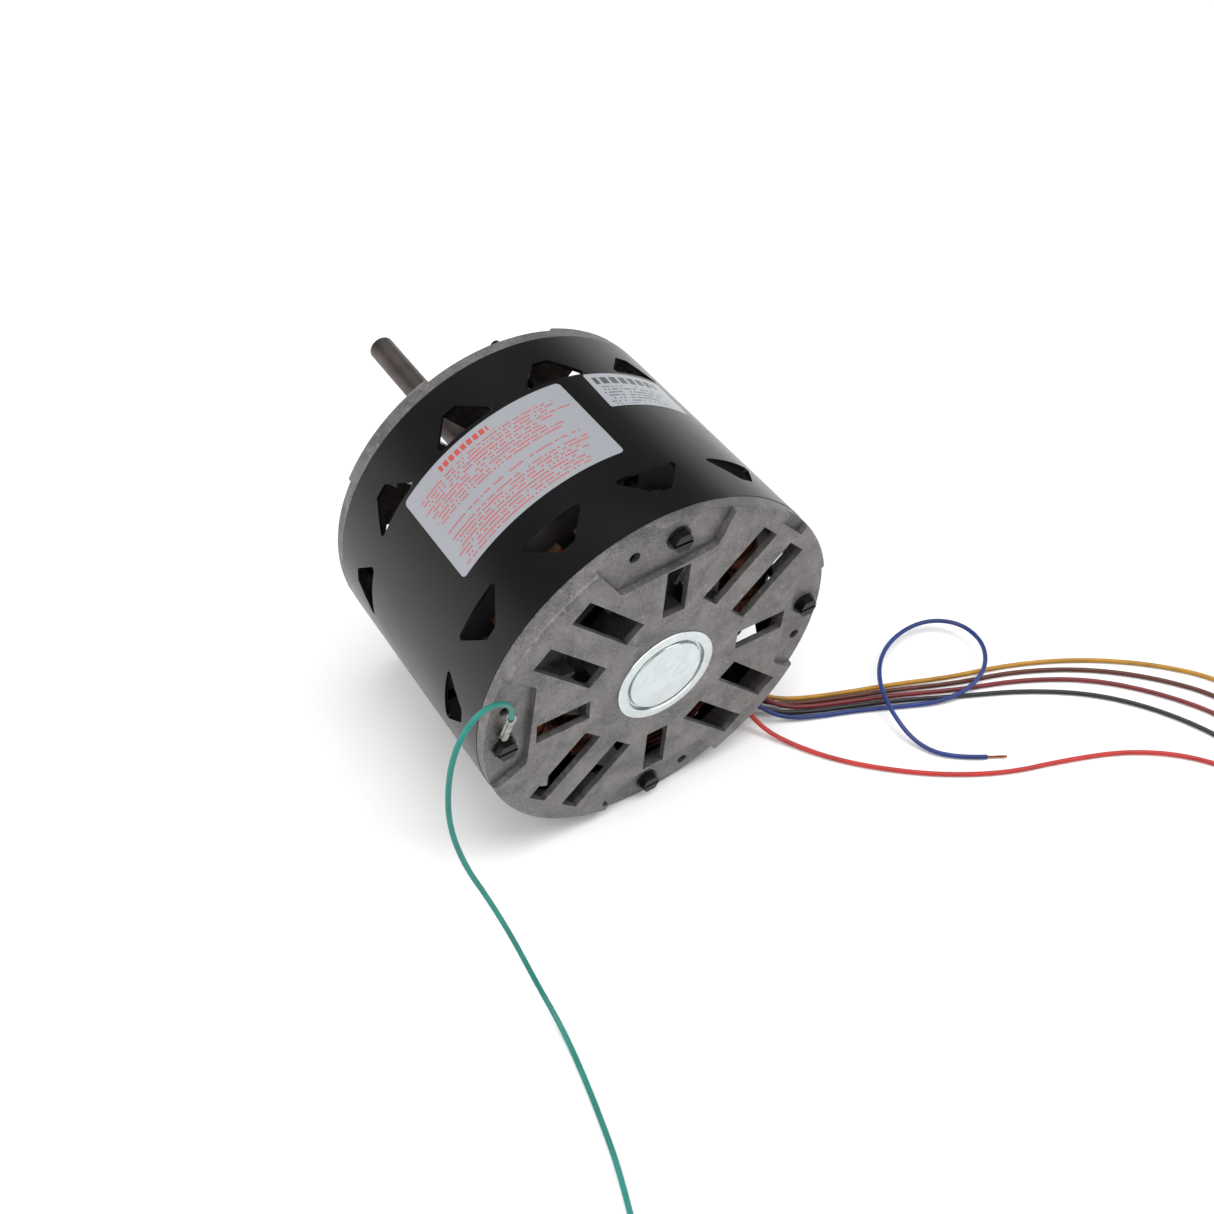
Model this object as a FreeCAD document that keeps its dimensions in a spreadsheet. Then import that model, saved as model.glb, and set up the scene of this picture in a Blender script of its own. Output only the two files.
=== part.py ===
import FreeCAD, Part
import math
import os
import re

import Sketcher

# Direct-drive blower motor: ventilated shell, two cast end shields, wound stator, rotor and leads.
# Millimetres. +Y runs along the shaft to its free end, +Z is up, +X is right seen from the capped end.
# The origin is on the shaft axis at the middle of the shell, within 0.3 mm of the centre of volume.

Vector = FreeCAD.Vector
Rotation = FreeCAD.Rotation
Placement = FreeCAD.Placement

doc = FreeCAD.newDocument("blower_motor")

# ---------------------------------------------------------------- driving dimensions
DIMENSIONS = [
    # shell
    ("shell_radius", 82.5), ("shell_wall", 1.5), ("shell_half", 57.2),
    ("vent_count", 12), ("vent_angle", 87), ("vent_base", 30.2), ("vent_top", 6.8),
    ("vent_height", 13.3), ("front_vent_edge", 11.3), ("rear_vent_edge", 14.5), ("vent_corner", 1.2),
    ("grommet_angle", -48), ("grommet_place", -43), ("grommet_hole", 6.5),
    # end shields: depths are measured inwards from the raised outer face
    ("face_half", 65.3), ("shield_radius", 82.3), ("plate", 2.8), ("rim_plate", 7), ("rim_step", 61.5),
    ("spigot_radius", 80.95), ("spigot_wall", 3), ("spigot_end", 14.1), ("rim_round", 1.9),
    ("slot_width", 10.6), ("slot_offset", 11.3), ("slot_start", 36), ("pair_slot_end", 72.5),
    ("lone_slot_end", 60.5), ("relief_margin", 2), ("pad_depth", 3), ("pad_corner", 3), ("pad_hole", 2.4),
    ("notch_width", 16), ("notch_depth", 5),
    # hub and bearing
    ("hub_radius", 24), ("hub_depth", 27.3), ("hub_bore", 17), ("cap_seat", 19.1), ("cap_seat_depth", 4),
    ("hub_floor", 21.3), ("floor_bore", 9.3), ("bearing_ball", 11), ("bearing_length", 19),
    ("bearing_depth", 15.3), ("bearing_clearance", 0.04), ("clip_bore", 9.56), ("clip_plate", 0.8),
    ("felt_gap", 0.3),
    # cap
    ("cap_radius", 23.1), ("cap_metal", 0.8), ("cap_groove", 18), ("cap_rise", 1.8),
    # rotating set
    ("shaft_radius", 6.35), ("shaft_tip", 184.7), ("shaft_chamfer", 0.8), ("shaft_flat_depth", 0.7),
    ("shaft_flat_length", 52), ("ring_groove", 72), ("rotor_radius", 47.6), ("end_ring", 7),
    ("end_ring_bore", 30), ("fan_blades", 12), ("blade_height", 8), ("blade_width", 2),
    ("washer_radius", 8.8), ("washer_plate", 1), ("washer_gap", 0.4),
    # stator
    ("core_radius", 80.95), ("core_bore", 48), ("core_front", -31), ("core_rear", 28),
    ("slots", 36), ("slot_root", 68.5), ("slot_neck", 50), ("slot_body", 4.6), ("slot_mouth", 2.2),
    ("liner", 0.4), ("liner_stand", 3), ("turn_length", 14), ("turn_inner", 50.8), ("turn_outer", 65.5),
    ("turn_round", 4.5), ("lacings", 36), ("lacing_wide", 1.6), ("lacing_thick", 0.7),
    # fasteners
    ("bolt_circle", 74), ("bolt_radius", 2.4), ("bolt_hole", 2.65), ("head_flange", 5.1),
    ("head_flats", 8), ("head_height", 4), ("head_slot", 1.2), ("nut_flange", 6.5), ("nut_height", 4),
    ("lock_washer", 1), ("stud_free", 3.5), ("terminal_plate", 0.9), ("terminal_radius", 5.2),
    # leads
    ("lead_radius", 1.1), ("strand_radius", 0.55), ("strip_length", 10), ("label_film", 0.08),
]

sizes = doc.addObject("Spreadsheet::Sheet", "sizes")
for row, (alias, value) in enumerate(DIMENSIONS, start=1):
    sizes.set("A%d" % row, alias)
    sizes.set("B%d" % row, str(value))
    sizes.setAlias("B%d" % row, alias)
doc.recompute()


def size(expression):
    """Value of an expression written in the sheet's own words."""
    return float(sizes.evalExpression(named(expression)))


def named(expression):
    """The same expression as another object reads it, each alias after the sheet's name."""
    return re.sub("[a-z_]+", lambda word: PREFIX.get(word.group(), word.group()), expression)


PREFIX = {alias: "sizes." + alias for alias, _ in DIMENSIONS}
FRONT, REAR = -1, 1


def depth(side, inward):
    """Y of a plane a given depth inside the raised face of the front or rear shield."""
    return "%d * (face_half - (%s))" % (side, inward)


# ---------------------------------------------------------------- sketch and feature helpers
def new_body(label):
    body = doc.addObject("PartDesign::Body", label)
    body.Label = label
    return body


def outline(body, name, plane, corners, lift=None, swing=None):
    """Closed sketch through corners; every corner's two coordinates are bound to the sheet."""
    sketch = body.newObject("Sketcher::SketchObject", name)
    base = [item for item in body.Origin.OriginFeatures if item.Role == plane][0]
    sketch.AttachmentSupport = [(base, "")]
    sketch.MapMode = "FlatFace"
    if swing is not None:
        axis, angle = swing
        sketch.AttachmentOffset = Placement(Vector(), Rotation(axis, size(angle)))
        sketch.setExpression("AttachmentOffset.Rotation.Angle", named(angle))
    if lift is not None:
        sketch.setExpression("AttachmentOffset.Base.z", named(lift))
    for wire in corners:
        start = sketch.GeometryCount
        points = [Vector(size(x), size(y), 0) for x, y in wire]
        count = len(points)
        for index in range(count):
            sketch.addGeometry(Part.LineSegment(points[index], points[(index + 1) % count]))
        for index in range(count):
            following = start + (index + 1) % count
            sketch.addConstraint(Sketcher.Constraint("Coincident", start + index, 2, following, 1))
        for index, (x, y) in enumerate(wire):
            for kind, text, value in (("DistanceX", x, points[index].x), ("DistanceY", y, points[index].y)):
                rule = Sketcher.Constraint(kind, -1, 1, start + index, 1, value)
                number = sketch.addConstraint(rule)
                sketch.setExpression("Constraints[%d]" % number, named(text))
    return sketch


def turned(label, corners):
    """Body turned about the shaft axis from (radius, Y) corners."""
    body = new_body(label)
    sketch = outline(body, label + "_profile", "XY_Plane", [corners])
    turn = body.newObject("PartDesign::Revolution", label + "_turn")
    turn.Profile = sketch
    turn.ReferenceAxis = (sketch, ["V_Axis"])
    turn.Angle = 360
    doc.recompute()
    return body


def cut_through(body, sketch, name, reverse=False, both=False, reach=None):
    """Pocket through everything, or to a stated reach, checked to have taken material away."""
    before = body.Shape.Volume
    pocket = body.newObject("PartDesign::Pocket", name)
    pocket.Profile = sketch
    pocket.Reversed = reverse
    if reach is None:
        pocket.Type = "ThroughAll"
        pocket.Midplane = both
    else:
        pocket.Type = "Length"
        pocket.setExpression("Length", named(reach))
    doc.recompute()
    if body.Shape.Volume > before - 0.01:
        raise RuntimeError(name + " cuts nothing")
    return pocket


def round_about(body, feature, sketch, axis, name, count):
    """Repeat a feature evenly about the shaft axis."""
    pattern = body.newObject("PartDesign::PolarPattern", name)
    pattern.Originals = [feature]
    pattern.Axis = (sketch, [axis])
    pattern.Angle = 360
    pattern.setExpression("Occurrences", named(count))
    body.Tip = pattern
    doc.recompute()
    return pattern


def round_edges(body, name, radius, wanted):
    """Fillet the edges that a test picks out of the body's present shape."""
    tip = body.Tip
    picked = ["Edge%d" % number for number, edge in enumerate(tip.Shape.Edges, start=1) if wanted(edge)]
    fillet = body.newObject("PartDesign::Fillet", name)
    fillet.Base = (tip, picked)
    fillet.setExpression("Radius", named(radius))
    doc.recompute()
    return fillet


def rectangle(x0, x1, z0, z1):
    return [(x0, z0), (x1, z0), (x1, z1), (x0, z1)]


# ---------------------------------------------------------------- primitives along Y
ALONG_Y = Rotation(Vector(1, 0, 0), -90)


def rod(name, radius, start, end, x="0", z="0"):
    """Cylinder along Y between two planes."""
    item = doc.addObject("Part::Cylinder", name)
    item.setExpression("Radius", named(radius))
    item.setExpression("Height", named("(%s) - (%s)" % (end, start)))
    item.Placement = Placement(Vector(), ALONG_Y)
    for axis, text in (("x", x), ("y", start), ("z", z)):
        item.setExpression("Placement.Base." + axis, named(text))
    return item


def hexagon(name, flats, start, end, x, z):
    """Hexagonal prism along Y between two planes."""
    item = doc.addObject("Part::Prism", name)
    item.Polygon = 6
    item.setExpression("Circumradius", named("(%s) / sqrt(3)" % flats))
    item.setExpression("Height", named("(%s) - (%s)" % (end, start)))
    item.Placement = Placement(Vector(), ALONG_Y)
    for axis, text in (("x", x), ("y", start), ("z", z)):
        item.setExpression("Placement.Base." + axis, named(text))
    return item


def block(name, length, width, height, x, y, z):
    """Box with its lowest corner at x, y, z."""
    item = doc.addObject("Part::Box", name)
    for field, text in (("Length", length), ("Width", width), ("Height", height)):
        item.setExpression(field, named(text))
    for axis, text in (("x", x), ("y", y), ("z", z)):
        item.setExpression("Placement.Base." + axis, named(text))
    return item


def taken(name, base, tool):
    item = doc.addObject("Part::Cut", name)
    item.Base = base
    item.Tool = tool
    return item


def joined(name, parts):
    item = doc.addObject("Part::MultiFuse", name)
    item.Shapes = parts
    return item


def grouped(name, parts):
    item = doc.addObject("Part::Compound", name)
    item.Links = parts
    return item


def solid_feature(name, shape):
    """Piece whose shape comes straight from Part's own functions."""
    item = doc.addObject("Part::Feature", name)
    item.Label = name
    item.Shape = shape
    return item


def spun(shape, count, first=0.0):
    """Copies of a shape evenly about the shaft axis."""
    copies = []
    for index in range(count):
        copy = shape.copy()
        copy.rotate(Vector(), Vector(0, -1, 0), first + index * 360.0 / count)
        copies.append(copy)
    return copies


def on_circle(radius, angle):
    """X and Z expressions of a point on a circle about the shaft axis."""
    return "%s * cos(%g deg)" % (radius, angle), "%s * sin(%g deg)" % (radius, angle)


# ---------------------------------------------------------------- shell
def vent(edge, inner):
    """Trapezoid with its short side towards the shell's end and its long side towards the middle."""
    return [("-vent_base / 2", inner), ("vent_base / 2", inner), ("vent_top / 2", edge),
            ("-vent_top / 2", edge)]


def make_shell():
    body = turned("shell", [
        ("shell_radius - shell_wall", "-shell_half"), ("shell_radius", "-shell_half"),
        ("shell_radius", "shell_half"), ("shell_radius - shell_wall", "shell_half")])
    front = vent("-shell_half + front_vent_edge", "-shell_half + front_vent_edge + vent_height")
    rear = vent("shell_half - rear_vent_edge", "shell_half - rear_vent_edge - vent_height")
    swing = (Vector(0, 1, 0), "90 - vent_angle")
    sketch = outline(body, "vents", "XY_Plane", [front, rear], swing=swing)
    pocket = cut_through(body, sketch, "vent_pair", reverse=True)
    round_about(body, pocket, sketch, "V_Axis", "vent_rows", "vent_count")

    def vent_corner(edge):
        ends = [math.hypot(point.Point.x, point.Point.z) for point in edge.Vertexes]
        return len(ends) == 2 and abs(ends[0] - ends[1]) > 1 and edge.Length < 2

    round_edges(body, "vent_rounding", "vent_corner", vent_corner)
    outlet = body.newObject("Sketcher::SketchObject", "lead_outlet")
    base = [item for item in body.Origin.OriginFeatures if item.Role == "XY_Plane"][0]
    outlet.AttachmentSupport = [(base, "")]
    outlet.MapMode = "FlatFace"
    turn = "90 - grommet_angle"
    outlet.AttachmentOffset = Placement(Vector(), Rotation(Vector(0, 1, 0), size(turn)))
    outlet.setExpression("AttachmentOffset.Rotation.Angle", named(turn))
    outlet.addGeometry(Part.Circle(Vector(0, size("grommet_place"), 0), Vector(0, 0, 1), size("grommet_hole")))
    outlet.addConstraint(Sketcher.Constraint("PointOnObject", 0, 3, -2))
    for kind, text in (("DistanceY", "grommet_place"), ("Radius", "grommet_hole")):
        ends = (-1, 1, 0, 3) if kind == "DistanceY" else (0,)
        number = outlet.addConstraint(Sketcher.Constraint(kind, *ends, size(text)))
        outlet.setExpression("Constraints[%d]" % number, named(text))
    cut_through(body, outlet, "lead_outlet_cut", reverse=True)
    return body


# ---------------------------------------------------------------- end shields
# Pads are recessed steps round each through bolt, open at the rim. The top and bottom pads are half
# a turn apart, and so are the left and right ones. Corners are (X, Z) on the raised face.
TOP_PAD = [(-37.5, 76.0), (-25.5, 59.0), (17.0, 63.5), (23.5, 77.5), (26.0, 92.0), (-40.0, 92.0)]
LEFT_PAD = [(-70.0, 36.5), (-61.0, 28.5), (-64.5, -15.5), (-76.0, -22.0), (-92.0, -23.0), (-92.0, 39.0)]
PAD_HOLES = [(75.3, 104.8), (75.3, 165.3), (75.3, 284.8), (75.3, 345.3), (75.6, 252.3)]
BOLT_ANGLES = [0, 90, 180, 270]
NOTCH_ANGLE = 45


def opposite(corners):
    return [(-x, -z) for x, z in corners]


def plain(corners):
    return [("%g" % x, "%g" % z) for x, z in corners]


def make_shield(label, side):
    """Cast shield: face plate with slots, stepped pads, a spigot in the shell and a bearing hub."""
    profile = [
        ("cap_seat", "0"), ("shield_radius - rim_round", "0"),
        ("shield_radius - rim_round * 0.5", "rim_round * 0.13"),
        ("shield_radius - rim_round * 0.13", "rim_round * 0.5"), ("shield_radius", "rim_round"),
        ("shield_radius", "face_half - shell_half"), ("spigot_radius", "face_half - shell_half"),
        ("spigot_radius", "spigot_end"), ("spigot_radius - spigot_wall", "spigot_end"),
        ("spigot_radius - spigot_wall", "rim_plate"), ("rim_step", "rim_plate"),
        ("rim_step - 2", "plate"), ("hub_radius + 2", "plate"), ("hub_radius", "plate + 2"),
        ("hub_radius - 0.5", "hub_depth"), ("floor_bore", "hub_depth"), ("floor_bore", "hub_floor"),
        ("hub_bore", "hub_floor"), ("hub_bore", "cap_seat_depth"), ("cap_seat", "cap_seat_depth")]
    body = turned(label, [(radius, depth(side, inward)) for radius, inward in profile])
    both = {"reverse": False, "both": True}
    pair = [rectangle("slot_start", "pair_slot_end", "slot_offset - slot_width / 2",
                      "slot_offset + slot_width / 2"),
            rectangle("slot_start", "pair_slot_end", "-slot_offset - slot_width / 2",
                      "-slot_offset + slot_width / 2")]
    paired = outline(body, label + "_pair_slots", "XZ_Plane", pair, swing=(Vector(0, 0, 1), "45"))
    pocket = cut_through(body, paired, label + "_pair_cut", **both)
    round_about(body, pocket, paired, "N_Axis", label + "_pairs", "4")
    alone = outline(body, label + "_lone_slot", "XZ_Plane",
                    [rectangle("slot_start", "lone_slot_end", "-slot_width / 2", "slot_width / 2")])
    pocket = cut_through(body, alone, label + "_lone_cut", **both)
    round_about(body, pocket, alone, "N_Axis", label + "_lone", "4")

    # The thick rim is thinned from inside round each pair of slots.
    # The sketch's normal points along -Y, so its lift is the negative of Y.
    relief = outline(body, label + "_slot_relief", "XZ_Plane",
                     [rectangle("rim_step - 4", "pair_slot_end + relief_margin",
                                "-slot_offset - slot_width / 2 - relief_margin",
                                "slot_offset + slot_width / 2 + relief_margin")],
                     swing=(Vector(0, 0, 1), "45"), lift="%d * (face_half - plate)" % -side)
    pocket = cut_through(body, relief, label + "_relief_cut", reverse=(side == REAR), reach="rim_plate")
    round_about(body, pocket, relief, "N_Axis", label + "_reliefs", "4")
    outward = {"lift": "%d * face_half" % -side}
    pads = [plain(corners) for corners in (TOP_PAD, opposite(TOP_PAD), LEFT_PAD, opposite(LEFT_PAD))]
    step = outline(body, label + "_pads", "XZ_Plane", pads, **outward)
    cut_through(body, step, label + "_pad_step", reverse=(side == REAR), reach="pad_depth")
    pad_corners = [corner for pad in (TOP_PAD, opposite(TOP_PAD), LEFT_PAD, opposite(LEFT_PAD))
                   for corner in pad]

    def pad_wall(edge):
        ends = [vertex.Point for vertex in edge.Vertexes]
        if len(ends) != 2 or abs(ends[0].x - ends[1].x) > 0.01 or abs(ends[0].z - ends[1].z) > 0.01:
            return False
        at_corner = [abs(ends[0].x - x) < 0.05 and abs(ends[0].z - z) < 0.05 for x, z in pad_corners]
        return any(at_corner) and abs(edge.Length - size("pad_depth")) < 0.05

    round_edges(body, label + "_pad_rounding", "pad_corner", pad_wall)

    notch = outline(body, label + "_notch", "XZ_Plane",
                    [rectangle("shield_radius - notch_depth", "shield_radius + 5",
                               "-notch_width / 2", "notch_width / 2")],
                    swing=(Vector(0, 0, 1), str(NOTCH_ANGLE)), **outward)
    cut_through(body, notch, label + "_notch_cut", reverse=(side == REAR), reach="pad_depth")

    holes = [("bolt_circle", angle, "bolt_hole") for angle in BOLT_ANGLES]
    holes += [("%g" % radius, angle, "pad_hole") for radius, angle in PAD_HOLES]
    drill = body.newObject("Sketcher::SketchObject", label + "_holes")
    base = [item for item in body.Origin.OriginFeatures if item.Role == "XZ_Plane"][0]
    drill.AttachmentSupport = [(base, "")]
    drill.MapMode = "FlatFace"
    for number, (radius, angle, hole) in enumerate(holes):
        x, z = on_circle(radius, angle)
        drill.addGeometry(Part.Circle(Vector(size(x), size(z), 0), Vector(0, 0, 1), size(hole)))
        for kind, ends, text in (("DistanceX", (-1, 1, number, 3), x), ("DistanceY", (-1, 1, number, 3), z),
                                 ("Radius", (number,), hole)):
            index = drill.addConstraint(Sketcher.Constraint(kind, *ends, size(text)))
            drill.setExpression("Constraints[%d]" % index, named(text))
    cut_through(body, drill, label + "_drilling", **both)
    return body


# ---------------------------------------------------------------- hub pieces, front and rear
def make_front_cap():
    """Pressed and galvanised oil cap: flat flange, rolled groove and a low domed centre."""
    profile = [
        ("0", "-cap_rise"), ("cap_groove * 0.5", "-cap_rise + 0.25"), ("cap_groove * 0.92", "-cap_rise + 0.9"),
        ("cap_groove - 0.8", "-0.4"), ("cap_groove - 0.5", "1.2"), ("cap_groove + 0.3", "1.2"),
        ("cap_groove + 0.5", "-0.3"), ("cap_groove + 0.9", "-cap_metal"), ("cap_radius - 0.3", "-cap_metal"),
        ("cap_radius", "-cap_metal + 0.3"), ("cap_radius", "0"), ("cap_seat - 0.05", "0"),
        ("cap_seat - 0.05", "2.1"), ("cap_groove - 1.3", "2.1"), ("cap_groove - 1.6", "0.4"),
        ("cap_groove - 2.1", "-0.1"), ("cap_groove * 0.5", "-cap_rise + 1.05"), ("0", "-cap_rise + 0.8")]
    return turned("front_bearing_cap", [(radius, depth(FRONT, inward)) for radius, inward in profile])


def make_rear_cover():
    """Plated ring that closes the rear hub round the shaft."""
    profile = [("shaft_radius + 1.2", "-0.6"), ("cap_seat + 2.4", "-0.6"), ("cap_seat + 2.9", "-0.1"),
               ("cap_seat + 2.9", "0"), ("cap_seat - 0.05", "0"), ("cap_seat - 0.05", "2"),
               ("cap_seat - 1.1", "2"), ("cap_seat - 1.3", "0.3"), ("shaft_radius + 1.2", "0.3")]
    return turned("rear_bearing_cover", [(radius, depth(REAR, inward)) for radius, inward in profile])


def make_hub_pieces(side, word):
    """Self-aligning sleeve bearing, its spring clip and the oil felt round it."""
    centre = depth(side, "bearing_depth")
    ball = doc.addObject("Part::Sphere", word + "_ball")
    ball.setExpression("Radius", named("bearing_ball"))
    ball.setExpression("Placement.Base.y", named(centre))
    sleeve = rod(word + "_sleeve", "bearing_ball + 1", "(%s) - bearing_length / 2" % centre,
                 "(%s) + bearing_length / 2" % centre)
    barrel = doc.addObject("Part::Common", word + "_barrel")
    barrel.Base = ball
    barrel.Tool = sleeve
    bore = rod(word + "_bore", "shaft_radius + bearing_clearance", "(%s) - bearing_length" % centre,
               "(%s) + bearing_length" % centre)
    bearing = taken(word + "_bearing", barrel, bore)
    clip = turned(word + "_bearing_clip", [
        (radius, depth(side, inward)) for radius, inward in [
            ("clip_bore", "bearing_depth - 5.5"), ("hub_bore - 0.05", "bearing_depth - 5.5"),
            ("hub_bore - 0.05", "bearing_depth - 5.5 - clip_plate"),
            ("clip_bore", "bearing_depth - 5.5 - clip_plate")]])
    felt = turned(word + "_oil_felt", [
        (radius, depth(side, inward)) for radius, inward in [
            ("bearing_ball + felt_gap", "bearing_depth - 5.4"), ("hub_bore - 0.05", "bearing_depth - 5.4"),
            ("hub_bore - 0.05", "hub_floor - 0.05"), ("bearing_ball + felt_gap", "hub_floor - 0.05")]])
    return [bearing, clip, felt]


# ---------------------------------------------------------------- stator
def make_core():
    """Lamination stack with slots open to the bore and clearance holes for the through bolts."""
    body = turned("stator_core", [
        ("core_bore", "core_front"), ("core_radius", "core_front"),
        ("core_radius", "core_rear"), ("core_bore", "core_rear")])
    slot = [("core_bore - 1", "-slot_mouth / 2"), ("slot_neck", "-slot_mouth / 2"),
            ("slot_neck", "-slot_body / 2"), ("slot_root", "-slot_body / 2"), ("slot_root", "slot_body / 2"),
            ("slot_neck", "slot_body / 2"), ("slot_neck", "slot_mouth / 2"), ("core_bore - 1", "slot_mouth / 2")]
    sketch = outline(body, "core_slot", "XZ_Plane", [slot])
    pocket = cut_through(body, sketch, "core_slot_cut", both=True)
    round_about(body, pocket, sketch, "N_Axis", "core_slots", "slots")
    groove = outline(body, "bolt_groove", "XZ_Plane", [rectangle(
        "bolt_circle - bolt_radius - 0.8", "core_radius + 1", "-bolt_radius - 0.8", "bolt_radius + 0.8")])
    pocket = cut_through(body, groove, "bolt_groove_cut", both=True)
    round_about(body, pocket, groove, "N_Axis", "bolt_grooves", "4")
    return body


def end_turn_profile(side, grow):
    """Rounded section of the coils outside the core, as (radius, Y) corners."""
    root = "core_front - liner_stand" if side == FRONT else "core_rear + liner_stand"
    reach = "(%s) + %d * (turn_length - liner_stand + %g)" % (root, side, grow)
    inner, outer = "turn_inner - %g" % grow, "turn_outer + %g" % grow
    cut = "turn_round"
    return [(inner, root), (outer, root), (outer, "(%s) - %d * %s" % (reach, side, cut)),
            ("%s - %s * 0.3" % (outer, cut), "(%s) - %d * %s * 0.3" % (reach, side, cut)),
            ("%s - %s" % (outer, cut), reach), ("%s + %s" % (inner, cut), reach),
            ("%s + %s * 0.3" % (inner, cut), "(%s) - %d * %s * 0.3" % (reach, side, cut)),
            (inner, "(%s) - %d * %s" % (reach, side, cut))]


def make_stator():
    core = make_core()
    slots = int(size("slots"))
    low, high = "core_front - liner_stand", "core_rear + liner_stand"
    length = "(%s) - (%s)" % (high, low)
    outer = block("liner_outer", "slot_root - slot_neck", length, "slot_body",
                  "slot_neck", low, "-slot_body / 2")
    inner = block("liner_inner", "slot_root - slot_neck - 2 * liner", length, "slot_body - 2 * liner",
                  "slot_neck + liner", low, "-slot_body / 2 + liner")
    liner = taken("liner_single", outer, inner)
    doc.recompute()
    liners = solid_feature("slot_liners", Part.makeCompound(spun(liner.Shape, slots)))
    turns = [turned("%s_end_turn" % word, end_turn_profile(side, 0)) for side, word in
             ((FRONT, "front"), (REAR, "rear"))]
    bars = spun(inner.Shape, slots)
    coils = turns[0].Shape.fuse([turns[1].Shape] + bars).removeSplitter()
    winding = solid_feature("stator_winding", coils)

    loops = []
    for side in (FRONT, REAR):
        large = turned("lacing_outer_%d" % (side + 1), end_turn_profile(side, size("lacing_thick")))
        ring = large.Shape.cut(turns[0].Shape).cut(turns[1].Shape)
        wide = size("lacing_wide")
        slab = Part.makeBox(30, 60, wide, Vector(size("turn_inner") - 5, -30 + 40 * side, -wide / 2))
        strip = ring.common(slab)
        loops += spun(strip, int(size("lacings")), first=5.0)
    lacing = solid_feature("winding_lacing", Part.makeCompound(loops))
    return [core, liners, winding, lacing]


PROTECTOR_ANGLE = 150


def make_protector():
    """Thermal cut-out tied on the front end turn."""
    face = size("core_front - turn_length - lacing_thick")
    shape = Part.makeBox(10, 5.5, 20, Vector(-5, -5.5, -10))
    shape = shape.makeFillet(1.5, [edge for edge in shape.Edges if edge.Length > 9.9])
    shape.translate(Vector(60, face - 0.05, 0))
    shape.rotate(Vector(), Vector(0, -1, 0), PROTECTOR_ANGLE)
    return solid_feature("thermal_protector", shape)


# ---------------------------------------------------------------- rotating set
def make_shaft():
    """Ground shaft with a retaining-ring groove outside the rear hub and a flat for a set screw."""
    body = turned("shaft", [
        ("0", "-face_half + 4.5"), ("shaft_radius - 0.6", "-face_half + 4.5"),
        ("shaft_radius", "-face_half + 5.1"), ("shaft_radius", "ring_groove"),
        ("shaft_radius - 0.4", "ring_groove"), ("shaft_radius - 0.4", "ring_groove + 1.2"),
        ("shaft_radius", "ring_groove + 1.2"), ("shaft_radius", "shaft_tip - shaft_chamfer"),
        ("shaft_radius - shaft_chamfer", "shaft_tip"), ("0", "shaft_tip")])
    flat = outline(body, "shaft_flat", "YZ_Plane", [rectangle(
        "shaft_tip - shaft_flat_length", "shaft_tip + 1",
        "-shaft_radius - 1", "-shaft_radius + shaft_flat_depth")])
    cut_through(body, flat, "shaft_flat_cut", both=True)
    return body


def make_end_ring(label, side):
    """Cast ring that shorts the rotor bars, with stub fan blades."""
    face = "core_front" if side == FRONT else "core_rear"
    ring = turned(label + "_ring", [
        ("end_ring_bore", face), ("rotor_radius - 1", face),
        ("rotor_radius - 1", "%s + %d * end_ring" % (face, side)),
        ("end_ring_bore", "%s + %d * end_ring" % (face, side))])
    low = "%s + %d * (end_ring + blade_height)" % (face, side) if side == FRONT else "%s + end_ring" % face
    blade = block(label + "_blade", "rotor_radius - 3 - (end_ring_bore + 1)", "blade_height", "blade_width",
                  "end_ring_bore + 1", low, "-blade_width / 2")
    doc.recompute()
    blades = spun(blade.Shape, int(size("fan_blades")))
    return solid_feature(label, ring.Shape.fuse(blades).removeSplitter())


def make_washers(word, side):
    """Hardened and fibre thrust washers between the bearing and the retaining ring."""
    near = "bearing_depth + bearing_length / 2 + washer_gap"
    rings = []
    for index in range(2):
        start = "%s + %d * washer_plate" % (near, index)
        rings.append(turned("%s_washer_%d" % (word, index + 1), [
            ("shaft_radius", depth(side, start)), ("washer_radius", depth(side, start)),
            ("washer_radius", depth(side, start + " + washer_plate")),
            ("shaft_radius", depth(side, start + " + washer_plate"))]))
    return grouped(word + "_thrust_washers", rings)


def make_rotor():
    shaft = make_shaft()
    core = turned("rotor_core", [("shaft_radius", "core_front"), ("rotor_radius", "core_front"),
                                 ("rotor_radius", "core_rear"), ("shaft_radius", "core_rear")])
    rings = [make_end_ring("rotor_end_ring_front", FRONT), make_end_ring("rotor_end_ring_rear", REAR)]
    washers = [make_washers("front", FRONT), make_washers("rear", REAR)]
    stop = "bearing_depth + bearing_length / 2 + washer_gap + 2 * washer_plate"
    collars = [turned("collar_%s" % word, [
        ("shaft_radius", depth(side, stop)), ("washer_radius + 0.4", depth(side, stop)),
        ("washer_radius + 0.4", depth(side, stop + " + 1.2")), ("shaft_radius", depth(side, stop + " + 1.2"))])
        for side, word in ((FRONT, "front"), (REAR, "rear"))]
    slinger = turned("oil_slinger", [
        ("shaft_radius", depth(REAR, "-2")), ("shaft_radius + 4.6", depth(REAR, "-2")),
        ("shaft_radius + 5", depth(REAR, "-2.6")), ("shaft_radius + 3.4", depth(REAR, "-5.2")),
        ("shaft_radius", depth(REAR, "-5.2"))])
    ring = turned("shaft_retaining_ring", [
        ("shaft_radius - 0.4", "ring_groove + 0.1"), ("shaft_radius + 2.6", "ring_groove + 0.1"),
        ("shaft_radius + 2.6", "ring_groove + 1.1"), ("shaft_radius - 0.4", "ring_groove + 1.1")])
    return [shaft, core] + rings + washers + [grouped("shaft_collars", collars), slinger, ring]


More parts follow.
